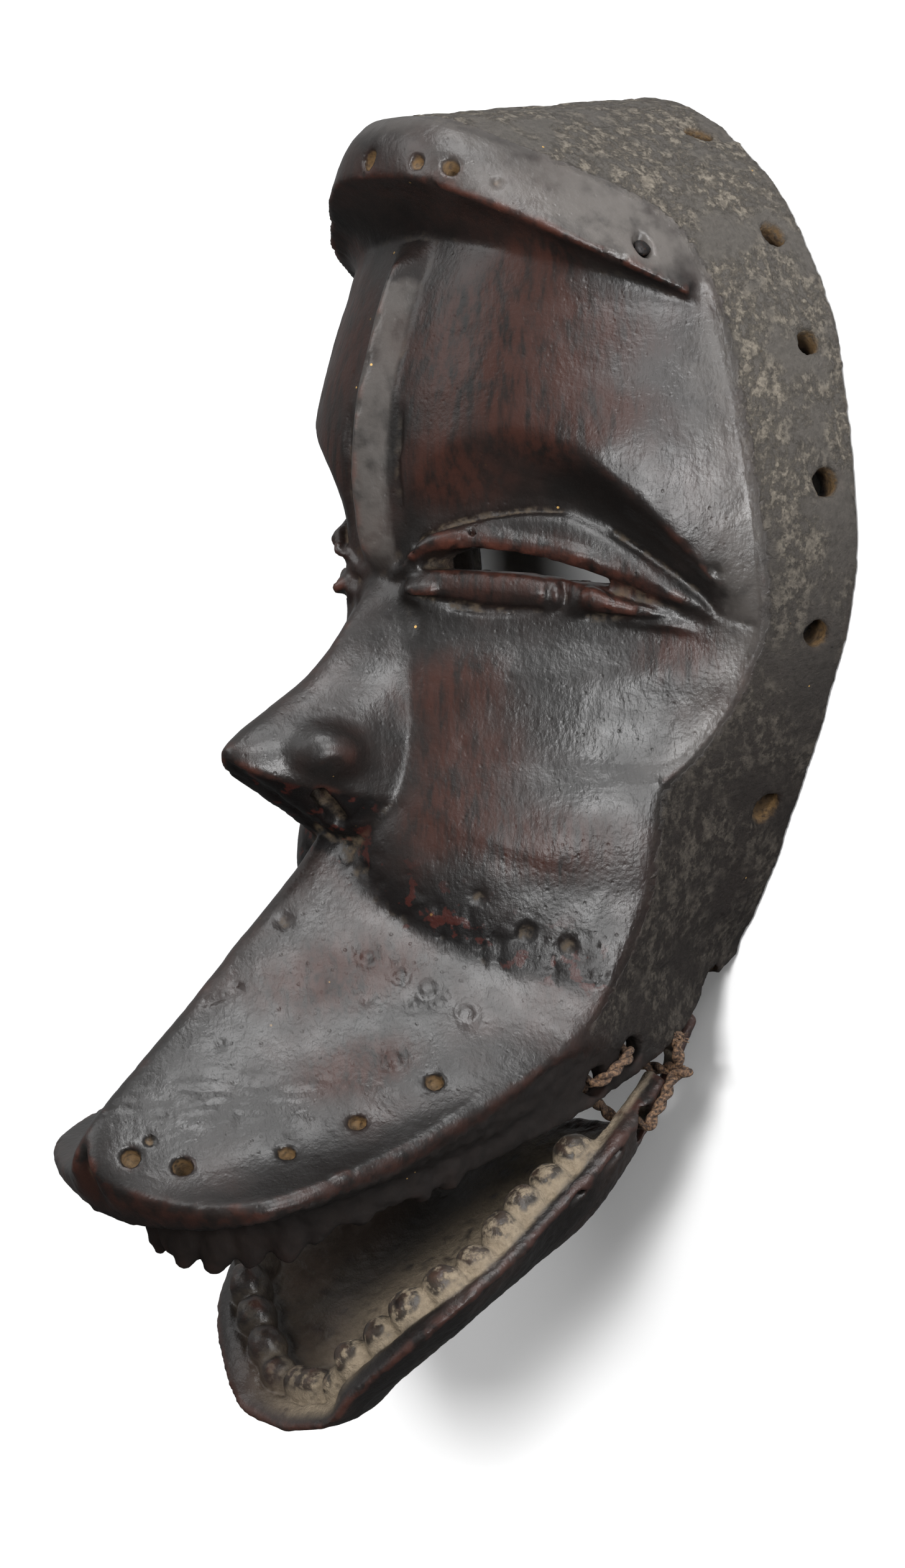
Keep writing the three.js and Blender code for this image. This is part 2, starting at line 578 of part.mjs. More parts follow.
// A scoop sunk below an edge that is the jaw's rim moved in by a wall and up past the opening
function scoop(wall, past, depthAt, steep, rear) {
  const stations = spread([[0, JAW_FAN, 7], [JAW_FAN, 1, 7]]);
  const edgeAt = (t) => insetEdge(JAW_RIM, t, wall(t), JAW_DOWN, -past);
  return mirroredSolid([-1, ...stations], JAW_RINGS, (t, j) => {
    if (t < 0) return rear;
    const edge = edgeAt(t);
    const centre = edgeAt(Math.min(t, JAW_FAN));
    centre[0] = 0;
    const share = Math.sin((j / JAW_RINGS) * (Math.PI / 2)) ** 0.8;
    const sunk = depthAt(t) * (1 - share ** mix(6, steep, smooth(0, 0.6, t)));
    return edge.map((v, c) => mix(centre[c], v, share) + JAW_DOWN[c] * sunk);
  }, (point) => point);
}
function jawMounds() {
  return pitched(JAW_RIM, MOUND_PITCH, 11).flatMap((t, n) => {
    const at = insetEdge(JAW_RIM, t, along(JAW_WALL, t) + 2, JAW_DOWN, 2.6);
    const size = 1 + 0.1 * Math.sin(n * 1.9);
    const geometry = new THREE.SphereGeometry(1, 6, 3);
    geometry.scale(4.2 * size, 4.4 * size, 4.2 * size);
    const turn = new THREE.Matrix4().makeRotationX(Math.atan2(-JAW_DOWN[2], -JAW_DOWN[1]));
    return bothSides(at).map((place) => solidOf(geometry, turn.clone().setPosition(...place)));
  });
}
function jawSolid() {
  const depth = (t) => mix(9, JAW_DEPTH, smooth(0, 0.4, t));
  const hull = scoop(() => 0, 0, depth, 2.1, [0, -118, 11]);
  const trough = scoop(
    (t) => along(JAW_WALL, t),
    WALL_CUT,
    (t) => mix(14, JAW_DEPTH - JAW_FLOOR, smooth(0, 0.4, t)) + WALL_CUT,
    4.5,
    [0, -95, 0],
  );
  const holes = JAW_HOLES.flatMap(([y, z]) => bothSides([41, y, z]));
  return hull.subtract(trough)
    .add(wasm.Manifold.union(jawMounds()))
    .subtract(wasm.Manifold.union(holes.map((at) => rod(at, [1, 0, 0], JAW_HOLE, 34, 8))));
}

// Lashing cord: out of one hole of the mask, into the next, and round through both jaw holes
function lashing(side) {
  const [high, low] = CORD_HOLES.map((at) => leaned([side * at[0], at[1], at[2]]));
  const [rearY, rearZ] = JAW_HOLES[0];
  const [foreY, foreZ] = JAW_HOLES[1];
  const route = [
    [45, rearY + 2.5, rearZ + 1.5], [43.6, rearY, rearZ], [35, rearY, rearZ],
    [28.4, rearY, rearZ + 1], [27, rearY + 3, rearZ + 8], [31, high[1] - 2.5, high[2] - 5],
    [36, high[1], high[2]], [44, high[1], high[2]], [48.2, high[1] - 1, high[2] + 2],
    [48.8, low[1] + 1.5, low[2] - 2], [45, low[1], low[2]], [38, low[1], low[2]],
    [33, low[1] - 2, low[2] - 3], [29.5, foreY + 6, foreZ + 9], [29.5, foreY + 0.5, foreZ + 1.5],
    [35, foreY, foreZ], [45, foreY, foreZ], [48, foreY + 1.5, foreZ - 1],
    [47, rearY - 4, rearZ + 4], [45.2, rearY + 1.8, rearZ + 2],
  ].map(([x, y, z]) => new THREE.Vector3(side * x, y, z));
  const section = new THREE.Shape();
  section.absarc(0, 0, CORD / 2, 0, 2 * Math.PI);
  const cord = new THREE.ExtrudeGeometry(section, {
    steps: 28, curveSegments: 3, bevelEnabled: false, extrudePath: new THREE.CatmullRomCurve3(route),
  });
  const knot = new THREE.SphereGeometry(3.2, 6, 3).translate(...route[0]);
  return solidOf(cord).add(solidOf(knot));
}

// Iron nail in a chipped pit at the end of the ledge
const NAIL = { at: [49.7, 64.9, 46.9], out: [0.81, 0.57, 0.14], shaft: 1.4, head: 2.8, long: 8, pit: 1.6 };
function nailPit() {
  const out = new THREE.Vector3(...NAIL.out).normalize();
  const inwards = (distance) => NAIL.at.map((v, c) => v - out.getComponent(c) * distance);
  const pit = rod(inwards(0), NAIL.out, 2 * NAIL.head + 2.8, 2 * NAIL.pit, 7);
  return pit.add(rod(inwards(NAIL.long / 2), NAIL.out, 2 * (NAIL.shaft + GAP) + 0.4, NAIL.long + 1, 7));
}
function nail() {
  const { head, shaft, long, pit } = NAIL;
  const low = -pit + GAP;
  const outline = [
    [0, -long], [shaft * 0.6, -long + 1.5], [shaft, -long + 3], [shaft, low], [head, low],
    [head * 0.95, low + 0.9], [head * 0.5, low + 1.4], [0, low + 1.6],
  ].map(([r, y]) => new THREE.Vector2(r, y));
  const turn = new THREE.Quaternion().setFromUnitVectors(
    new THREE.Vector3(0, 1, 0),
    new THREE.Vector3(...NAIL.out).normalize(),
  );
  const place = new THREE.Matrix4().compose(new THREE.Vector3(...NAIL.at), turn, new THREE.Vector3(1, 1, 1));
  return solidOf(new THREE.LatheGeometry(outline, 7), place);
}

function named(name, solid, material) {
  const mesh = new THREE.Mesh(geometryOf(solid), new THREE.MeshStandardMaterial(material));
  mesh.name = name;
  mesh.position.y = CENTRE_Y;
  return mesh;
}

const drilled = [
  ...bandHoles(), ...beakHoles(), ...cordHoles(), ...nostrils(), nailPit(), eyeSlit(1), eyeSlit(-1),
];
const maskSolid = outerFace().subtract(hollow())
  .add(wasm.Manifold.union([...upperTeeth(), ...nostrilKnobs()]))
  .subtract(wasm.Manifold.union(drilled));

const group = new THREE.Group();
group.add(
  named('mask', maskSolid, WOOD),
  named('jaw', jawSolid(), JAW_WOOD),
  named('lashing_left', lashing(1), FIBRE),
  named('lashing_right', lashing(-1), FIBRE),
  named('nail', nail(), IRON),
);

export default group;
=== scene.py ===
import itertools
import math

import bpy
import numpy as np
import openvdb
from mathutils import Matrix, Vector
from mathutils.kdtree import KDTree

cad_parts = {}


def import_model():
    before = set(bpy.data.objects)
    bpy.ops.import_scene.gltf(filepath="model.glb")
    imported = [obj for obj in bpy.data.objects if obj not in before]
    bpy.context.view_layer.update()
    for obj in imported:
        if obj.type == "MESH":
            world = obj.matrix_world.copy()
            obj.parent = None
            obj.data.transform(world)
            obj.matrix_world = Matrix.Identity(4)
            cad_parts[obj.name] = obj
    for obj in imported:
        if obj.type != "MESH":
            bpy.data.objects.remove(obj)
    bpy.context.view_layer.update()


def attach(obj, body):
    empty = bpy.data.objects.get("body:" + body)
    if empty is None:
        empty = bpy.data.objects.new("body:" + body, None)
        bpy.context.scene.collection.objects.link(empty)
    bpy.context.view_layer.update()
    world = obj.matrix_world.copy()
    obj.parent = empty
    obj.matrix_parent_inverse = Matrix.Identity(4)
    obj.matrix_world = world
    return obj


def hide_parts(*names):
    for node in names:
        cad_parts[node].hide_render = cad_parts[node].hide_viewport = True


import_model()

# The carved wood is worked out in millimetres in the carver's frame: z = 0 is the rim that the mask
# lies on, y is counted from the level of the eyebrows, and x = 0 is the middle. Each form is made
# for the right half, mirrored, and turned into a field of distances, where holes are bored, edges
# are worn round and teeth are joined on. The field's surface is the mesh. The right half is the one
# at +x, on the right for who looks at the face. It is the wearer's left, as in the nodes' names.
CENTRE_Y = 54.016  # from the eyebrows to the part's origin
MM = 0.001
FINE = 0.8  # size of a voxel
MASK_TRIANGLES, JAW_TRIANGLES = 190000, 120000
MASK_BOX = (-82, -178, -6), (82, 110, 180)
JAW_BOX = (-56, -220, 0), (56, -105, 128)

# Driving dimensions, in millimetres, as in the part's solids
RIM_WALL, MOUTH_WALL, SIDE_WALL, FACE_WALL, LID_WALL, BEAK_WALL = 8.5, 7.0, 9.5, 10.5, 8.0, 20.0
WALL_CUT = 5.0  # how far a hollow runs out past its opening
FAN_TOP, FAN_LOW, HOLLOW_TOP = 58.0, -100.0, 44.0  # y past which rows turn into a fan
EYE_TOP = 27.0
RIM_HOLE, CORD_HOLE, JAW_HOLE = 6.8, 7.4, 8.4  # diameters
BEAK_HOLE_DEPTH = 4.0
BEAK_SLOPE, NOSE_UNDER = 1.89, 1.75
TIP_LEAN = 0.118
LEAN_FROM, LEAN_FULL = -95, -150  # y between which the beak begins to lean and leans in full
CHEEK_FLAT = 12
LID_BULGE, ROLL_BULGE = 4.2, 3.2
LEDGE_SWELL, LEDGE_SINK = 1.8, 3.2
BAND_SWELL, LIP_SWELL = 1.5, 1.3
LIP_LEVEL = 75  # z from which the lip at the mouth swells outwards
TOOTH_PITCH = 8.4
CORD = 3.0  # diameter
JAW_DEPTH, JAW_FLOOR, JAW_FAN = 25.0, 9.5, 0.6
JAW_DOWN = np.array([0, -0.79, -0.613])
JAW_UP = -JAW_DOWN / np.linalg.norm(JAW_DOWN)
MOUNDS = 11  # on each side

# The solids have other values for these, or none
BEAK_HOLE = 4.1  # diameter
SLIT_HIGH, SLIT_ENDS = 5.4, (13.0, 43.0)
RIDGE_HIGH, RIDGE_HALF = 5.8, 6.4
CHEEK_BULGE = 1.5
MOUND_PITCH = 9.7
MOUND_HALF = 5.1, 4.6, 5.9
STRANDS = 2
TOOTH_WIDE, TOOTH_THICK = 5.3, 3.7
WIDE_TOOTH = 8  # counted from the beak's tip
BEVEL = 6.0
NOSE_ROUND = [[-8, 1.1], [-35, 1.3], [-55, 1.9]]

# Lines as tables. Each row has its place on the line, which is a station from 0 to 1, an x or a y,
# and then the values there, of which three are a point.
SHORT_STEP = 0.004  # in stations, to find a line's direction
FRONT_EDGE = [
    [0, 0, 95.5, 81], [0.05, 12, 94.3, 79], [0.09, 22, 89.8, 72], [0.13, 29, 85.5, 62],
    [0.17, 35, 81.5, 53], [0.21, 41.5, 76.5, 43.5], [0.25, 47, 71, 37.5], [0.29, 53.5, 61.5, 34.5],
    [0.33, 59, 50, 32.5], [0.38, 63, 33, 30.5], [0.43, 66, 15, 29], [0.48, 67.4, -5, 26.5],
    [0.53, 65.1, -23, 23.5], [0.56, 61.9, -34, 25.5], [0.59, 58.3, -44.2, 29.5],
    [0.62, 54.5, -54.5, 37], [0.645, 52.4, -61, 44], [0.68, 51.8, -74, 46], [0.71, 50.5, -87, 47.5],
    [0.75, 49, -101, 53], [0.79, 48, -112, 61], [0.81, 47.7, -116.5, 66], [0.84, 46.8, -123, 82],
    [0.87, 45.4, -130, 100], [0.9, 44.2, -136, 115], [0.93, 43, -140.5, 131], [0.95, 40.5, -144, 143],
    [0.965, 36, -147, 153], [0.978, 24, -149, 162], [0.988, 10, -148.4, 169],
    [0.995, 3, -144.5, 172.9], [1, 0, -137.5, 172],
]
BACK_EDGE = [
    [0, 0, 103, 0], [0.05, 13, 100.7, 0], [0.09, 24, 95.7, 0], [0.13, 34, 89.5, 0],
    [0.17, 42, 82.8, 0], [0.21, 49, 75.4, 0], [0.25, 55, 67.5, 0], [0.29, 60.6, 57.5, 0],
    [0.33, 66, 45.4, 0], [0.38, 69.9, 27, 0], [0.43, 72.5, 10, 0], [0.48, 73.6, -6, 0],
    [0.53, 69.8, -25, 0], [0.56, 65.6, -36.5, 0], [0.59, 60.8, -48.8, 0], [0.62, 55.4, -60.5, 0],
    [0.645, 50.9, -69.5, 0], [0.68, 44.8, -82, 0], [0.71, 38.6, -92.5, 0], [0.745, 32, -102.5, 0],
    [0.765, 34, -109.5, 11], [0.79, 38.8, -119, 25], [0.815, 41, -126, 40], [0.84, 42.5, -132, 56],
    [0.865, 42, -137.5, 72], [0.89, 38.5, -143.5, 88], [0.91, 37, -149, 104], [0.93, 35, -153, 116],
    [0.95, 31, -156.5, 126], [0.965, 25.5, -158.5, 133], [0.978, 18, -160.3, 139],
    [0.988, 10, -161, 143.5], [1, 0, -161, 146],
]
LIP_LOW = [
    [0.79, 48, -113, 60.5], [0.84, 47, -126.5, 80.5], [0.87, 45.8, -134.5, 98.5],
    [0.9, 44.6, -141, 116], [0.93, 43.3, -146, 134], [0.95, 41, -149, 145], [0.965, 37, -151.5, 151],
    [0.978, 26, -155, 157.5], [0.988, 12, -157.2, 161.5], [1, 0, -157.8, 163.5],
]
LEDGE_END = 0.3
LEDGE_LIP = [
    [0, 0, 81.4, 88], [0.06, 14, 80.3, 86.5], [0.11, 25, 76.6, 81], [0.16, 34, 72.4, 73.5],
    [0.21, 44, 66.4, 65], [0.26, 51.5, 60.6, 54], [0.3, 58, 53.5, 40],
]
LEDGE_CREASE = [
    [0, 0, 67.5], [0.06, 12, 66.5], [0.11, 22, 65], [0.16, 31, 62.5], [0.21, 41, 59.5],
    [0.26, 49.5, 56.5], [0.3, 56.8, 51.5],
]
FACE_LINE = [
    [68, 72.5], [55, 78.5], [45, 82], [30, 86.3], [14, 88], [0, 86.5], [-12, 84.5], [-30, 86.5],
    [-45, 90], [-60, 94], [-72, 98], [-85, 98], [-100, 94],
]
BEND = [[60, 2.5], [20, 2.7], [-15, 2.5], [-60, 1.6], [-80, 2.3], [-100, 2.4]]
NOSE_LINE = [
    [-8, 85], [-12.5, 87], [-20, 93], [-26, 97.8], [-31.3, 103], [-36.8, 110], [-42.4, 119],
    [-47.8, 128], [-51.5, 131.8], [-54, 132],
]
NOSE_HALF = [[-8, 6], [-20, 10.5], [-32, 13.5], [-45, 15.5], [-56, 16.5], [-66, 16]]
BEAK_LINE = [
    [-62, 93], [-71.6, 102.5], [-80, 110], [-93.8, 124.8], [-110.8, 143], [-125.5, 159.5],
    [-138, 175], [-160, 199],
]
BROW_ARCH = [
    [6, -4], [12, 8], [20, 16.5], [30, 22.3], [38, 23.5], [46, 19.5], [53, 10], [58, 0], [62, -12],
    [66, -24],
]
SLIT_TOP = [
    [6, -10], [14, -6.6], [22, -5.6], [30, -6.4], [38, -8.6], [44, -11.5], [60, -22], [66, -27],
]
ROLL_LOW = [[6, -18], [30, -19.5], [60, -26.5], [66, -29]]
LID_TOP = [
    [6, -12.5], [14, -4.5], [25, 1.7], [37, 2.8], [45, -2.5], [53, -12], [60, -20.5], [66, -25.5],
]
JAW_RIM = [
    [0, 35, -115, 15], [0.09, 38, -124, 24.5], [0.18, 41, -132.5, 35], [0.28, 45, -141, 48],
    [0.36, 46, -149, 58], [0.44, 46, -157, 69], [0.54, 47.5, -166, 82], [0.64, 47, -175, 96],
    [0.71, 42.5, -182.4, 104], [0.78, 36, -190, 110], [0.88, 25, -200.5, 115.4],
    [0.94, 17, -208, 117], [1, 0, -211, 118],
]
JAW_WALL = [[0, 6], [0.6, 6.5], [0.85, 10], [1, 11]]

# Places of holes and forms
BAND_HOLES = [
    [27.3, 94, 9], [52.2, 67.4, 9], [63.8, 42, 9], [71.5, 10.1, 9], [67.5, -25.1, 9], [49, -64, 9],
    [28.5, -101, 10],
]
JAW_HOLES = [[-129, 25], [-141, 36]]
CORD_HOLES = [[43, -121, 44], [43, -126.5, 55]]
WING_AT, WING_SIZE = [7, -52.5, 108.5], [9.6, 7.2, 10.5]
BEAK_HOLES = [
    [8.8, -141.4, 165.8], [16, -143.5, 156], [28.5, -138.5, 136.3], [32.8, -132.5, 119.3],
    [36.9, -124.5, 99.6],
]
NAIL_AT, NAIL_OUT = [49.7, 64.9, 46.9], [0.81, 0.57, 0.14]
LEDGE_HOLES = [  # centre, radius, depth
    ([-1.1, 85.9, 87.3], 1.7, 6.5), ([20.6, 83.3, 80.9], 1.9, 8), ([13.5, 84.2, 84.9], 1.6, 2.4),
    ([29, 79.5, 73.5], 1.3, 1.6),
]
UPPER_TEETH = [  # lengths, from the beak's tip to the mouth's corner
    12, 12.5, 12, 10.5, 8.3, 6, 4.4, 4, 6, 6.5, 6,
]

# Details of the eyes, the jaw and the beak that only this mesh has
LID_FOLD = [[14.6, -6.2], [12.6, -8.6], [11, -12.4], [13.4, -14.8], [17, -15]]
KNOBS = [  # x, y, size
    [6.2, -10.8, 1.6], [9.4, -9.8, 1.7], [16.8, -10.8, 1.7],
]
CRUMBS = [  # x, y, size
    [36.6, -16.6, 1.7], [39.6, -15.2, 1.5], [33.6, -18.4, 1.3],
]
LID_WEDGE = [[41.6, -16.6], [44.3, -18], [47.5, -19.2], [50.8, -20.2], [54, -21.2]]
EYE_CREASES = [  # places, lift off the face, radius
    ([[11.5, -15.8], [16.8, -17.4], [20.4, -18.6], [24, -19.6], [28.5, -19.8], [33, -19.6]], 0.3,
     [0.9, 1.3, 1.5, 1.5, 1.3, 0.9]),
    ([[40.4, -21], [46.2, -21.6], [53, -22.2]], 0.2, [1.0, 1.1, 0.8]),
    ([[12, -6.5], [14, -3.2], [19, 0.2], [25, 2.4], [31, 3.4], [37, 3.2]], 0.25,
     [1.0, 1.0, 0.9, 0.8, 0.7, 0.5]),
    ([[44.8, -1.6], [48.6, -5.4], [54, -11.4], [58, -16.8]], 0.2, [0.8, 1.0, 1.1, 1.2]),
    ([[58, -16.8], [59.8, -21], [64.4, -23.6]], 0.1, [1.2, 1.1, 0.9]),
    ([[24.3, -1.5], [24.6, -5.2]], 0.5, 0.8),
    ([[62.2, -10.2], [62.6, -11]], 0.0, 1.3),
]
JAW_SLOTS = [  # y, z, length
    [-141, 40.5, 3], [-148.5, 50, 3.4], [-156, 61, 3],
]
JAW_CRACKS = [  # places, radius
    ([[15.2, -203, 117.5], [16, -207, 117.5], [17, -212, 114]], 0.7),
    ([[-31, -187, 110], [-33, -189, 109]], 1.4),
]
KNOT_TIE = [38.4, -121.6, 26]
BEAK_CREASE = [[5, -76], [11, -84], [18.6, -91], [29, -98.5], [37.8, -102.7], [44.9, -106.6]]
DENTS = [  # centre, radius, depth; on the right half, before the beak's lean
    ([4.7, -91.3, 118], 3.4, 0.9), ([37.2, -94.2, 72], 3.2, 1.1), ([42.3, -97.2, 63.8], 3, 0.9),
    ([37.6, -58.3, 65], 1.6, 0.8), ([43.8, -54.8, 53.8], 1.4, 0.5), ([24, -88, 88], 2.6, 0.8),
    ([14, -84, 99], 2.2, 0.7), ([31, -86, 81], 2.4, 0.8), ([9.8, -137.8, 161], 1.7, 1.4),
    ([42.9, -128.5, 57.9], 2.6, 1.2), ([13, -113, 122], 2.5, 0.5), ([8, -118, 139], 2.2, 0.5),
]
PLUG_DEPTH = 0.2
PLUGS = [  # centre, radius
    ([29.3, -120.9, 104.9], 2.6), ([27, -106.2, 92.8], 2.6), ([17.5, -99.5, 103.4], 2.1),
    ([22.6, -103.4, 97.6], 2.1), ([29.2, -109.2, 91.5], 2.2), ([33.3, -111.3, 86.6], 2.5),
    ([42.4, -140.6, 131.6], 3.2), ([26.6, -109.5, 96.8], 1.7),
]
GASH = [[2, -109.4], [3.4, -108.6], [5.6, -107], [5.4, -105.4], [4.2, -105.4]]
RUDDY = [  # x, y and reach of places where the red wood shows
    [24, 42, 26], [42, 44, 15], [40, 24, 14], [20, 14, 14], [48, 26, 11], [32, 60, 12],
    [24, -9, 12], [36, -9, 10], [46, -14, 9], [22, -38, 13], [26, -54, 12], [27, -68, 13],
    [40, -74, 12], [54, -30, 9], [16, -103, 13], [26, -122, 9],
]

# Rings between the middle line and the side band, and round the hollow
ROW_RINGS = [0, 0.045, 0.1, 0.16, 0.23, 0.31, 0.4, 0.49, 0.58, 0.67, 0.76, 0.85, 0.93, 1]
CREASE_RING, LIP_RING, EDGE_RING, BAND_RINGS = 7, 10, 13, 4
OUTER_RINGS = EDGE_RING + BAND_RINGS
CREASE_SHARE = 0.955  # of the way from the middle line to the edge
BAND_SHARE = [0, 0.3, 0.55, 0.8, 1]
HOLLOW_RINGS, HOLLOW_EDGE = 7, 5

rng = np.random.default_rng(11)


# Numbers
def mix(a, b, s):
    return a + (b - a) * s


def clamp(v, low=0.0, high=1.0):
    return np.clip(v, low, high)


def smooth(a, b, v):
    s = clamp((v - a) / (b - a))
    return s * s * (3 - 2 * s)


def soft_max(a, b, r):
    h = clamp(r - np.abs(a - b), 0, r)
    return np.maximum(a, b) + h * h / (4 * r)


def soft_min(a, b, r):
    return -soft_max(-a, -b, r)


def along(table, t):
    """Values of a table at t: a smooth curve through rows that start with their place on it."""
    rows = np.array(sorted(table), float)
    knots, values = rows[:, 0], rows[:, 1:]
    shape = np.shape(t)
    at = np.clip(np.ravel(t), knots[0], knots[-1])
    i = np.clip(np.searchsorted(knots, at) - 1, 0, len(knots) - 2)
    order = np.arange(len(knots))
    low, high = np.maximum(order - 1, 0), np.minimum(order + 1, len(knots) - 1)
    slopes = (values[high] - values[low]) / (knots[high] - knots[low])[:, None]
    step = knots[i + 1] - knots[i]
    s = ((at - knots[i]) / step)[:, None]
    lead = s * (1 - s) * ((1 - s) * slopes[i] - s * slopes[i + 1]) * step[:, None]
    out = mix(values[i], values[i + 1], s * s * (3 - 2 * s)) + lead
    return out.reshape(shape) if values.shape[1] == 1 else out.reshape(shape + (values.shape[1],))


MIX = rng.permutation(256)
SLOPES = rng.normal(size=(256, 3))
SLOPES /= np.linalg.norm(SLOPES, axis=1)[:, None]


def noise(points, size, seed=0):
    """Smooth noise of about -1 to 1 at points, with lumps of that size."""
    p = np.asarray(points, float) / size + seed * 17.31
    cell = np.floor(p).astype(np.int64)
    f = p - cell
    ease = f * f * f * (f * (f * 6 - 15) + 10)
    total = np.zeros(len(p))
    for corner in itertools.product((0, 1), repeat=3):
        x, y, z = ((cell + corner) & 255).T
        slope = SLOPES[MIX[(MIX[(MIX[x] + y) & 255] + z) & 255]]
        weight = np.prod(np.where(corner, ease, 1 - ease), axis=1)
        total += weight * ((f - corner) * slope).sum(1)
    return total * 1.7


def cells(points, size, seed=0):
    """Distance to the nearest of scattered points, in units of size."""
    p = np.asarray(points, float) / size + seed * 9.7
    cell = np.floor(p).astype(np.int64)
    best = np.full(len(p), 9.0)
    for corner in itertools.product((-1, 0, 1), repeat=3):
        here = cell + corner
        x, y, z = (here & 255).T
        pick = MIX[(MIX[(MIX[x] + y) & 255] + z) & 255]
        spot = here + 0.5 + 0.42 * SLOPES[pick]
        best = np.minimum(best, np.linalg.norm(spot - p, axis=1))
    return best


# The face's surfaces
STATIONS = np.linspace(0.29, 0.8, 3000)
LEVELS = along(FRONT_EDGE, STATIONS)[:, 1]


def edge_at(y):
    """x and z of the front edge at a given y."""
    edge = along(FRONT_EDGE, np.interp(-y, -LEVELS, STATIONS))
    return edge[..., 0], edge[..., 2]


def forehead(x, y):
    edge_x, edge_z = edge_at(clamp(y, FAN_LOW, 52))
    return edge_z + (along(FACE_LINE, y) - edge_z) * (1 - clamp(x / edge_x) ** along(BEND, y))


def cheek(x, y):
    edge_x, edge_z = edge_at(clamp(y, FAN_LOW, 0))
    bend = mix(mix(1.08, 1.36, smooth(-23, -38, y)), 1.6, smooth(-45, -84, y))
    s = clamp((x - CHEEK_FLAT) / (edge_x - CHEEK_FLAT))
    bulge = CHEEK_BULGE * np.exp(-(((y + 47) / 13) ** 2)) * smooth(0.3, 0.8, s) * (1 - s**5)
    return edge_z + (along(FACE_LINE, y) - edge_z) * (1 - s**bend) + bulge


def eyed(x, y):
    """Height around the eye: brow arch, socket, bulging upper lid, slit and lower lid's roll."""
    brow = forehead(x, y)
    below = np.minimum(brow, cheek(x, np.minimum(y, -20)))
    top, lid, slit, low = (along(table, x) for table in (BROW_ARCH, LID_TOP, SLIT_TOP, ROLL_LOW))
    inner = smooth(5, 13, x)
    down = clamp((top - y) / np.maximum(top - lid, 2))
    plain = mix(brow, mix(brow, below, 0.85), smooth(0, 1, down) ** 0.8 * inner)
    settled = mix(plain, below, smooth(lid, slit, y) * inner)
    span = smooth(6, 13, x) * (1 - smooth(52, 62, x))
    across = clamp((lid - y) / np.maximum(lid - slit, 1))
    on_lid = (y < lid) & (y > slit - 0.5)
    bulge = np.where(on_lid, LID_BULGE * np.sin(np.pi * mix(0.08, 0.8, across)) ** 0.7, 0)
    under = clamp((slit - SLIT_HIGH - y) / np.maximum(slit - SLIT_HIGH - low, 1))
    on_roll = (y < slit - SLIT_HIGH + 0.5) & (y > low)
    roll = np.where(on_roll, ROLL_BULGE * np.sin(np.pi * mix(0.2, 1, under)), 0)
    return settled + (bulge + roll) * span


def nose_brink(x):
    """y of the edge between the nose's flank and its underside."""
    return -53.2 - 0.62 * x


def nose(x, y, base):
    brink = nose_brink(x)
    top_y = np.maximum(y, brink)
    s = clamp(x / along(NOSE_HALF, top_y))
    height = base + (along(NOSE_LINE, top_y) - base) * (1 - s ** along(NOSE_ROUND, top_y))
    height = height - NOSE_UNDER * np.maximum(brink - y, 0)
    return mix(base, soft_max(base, height, 2.2), smooth(-6, -16, y))


def beak(x, y):
    rounded = np.sqrt(x * x + 16) - 4
    hollow = 1.6 * np.sin(np.pi * clamp(x / 46)) * smooth(-80, -105, y)
    return along(BEAK_LINE, y) - BEAK_SLOPE * rounded - hollow


def plain_face(x, y):
    return mix(forehead(x, y), cheek(x, y), smooth(-16, -24, y))


def carved(x, y, base):
    near_eye = np.where((y < 30) & (y > -30), smooth(30, 25, y) * smooth(-27, -22, y), 0)
    z = mix(base, eyed(x, y), near_eye)
    ridge = RIDGE_HIGH * smooth(68, 60, y) * smooth(-14, -4, y)
    z = z + np.where(y > -14, ridge * clamp(1 - x / RIDGE_HALF) ** 0.85, 0)
    z = np.where((y < -6) & (y > -80), nose(x, y, z), z)
    return np.where(y < -60, soft_max(z, beak(x, y), 2.4), z)


def height(x, y):
    """z of the face over places of the right half, before the beak's lean."""
    return carved(x, y, plain_face(x, y))


def skin(places, lift=0.0):
    """Points of the face over (x, y) places of the right half, off it by a distance."""
    x, y = np.array(places, float).T
    d = 0.5
    out = np.stack([
        height(x - d, y) - height(x + d, y), height(x, y - d) - height(x, y + d), np.full_like(x, 2 * d)
    ], 1)
    out /= np.linalg.norm(out, axis=1)[:, None]
    return np.stack([x, y, height(x, y)], 1) + out * np.reshape(lift, (-1, 1))


def front_point(edge, share):
    level = clamp(edge[..., 1], FAN_LOW, FAN_TOP)
    x = edge[..., 0] * share
    y = mix(level, edge[..., 1], share)
    return np.stack([x, y, height(x, y)], -1)


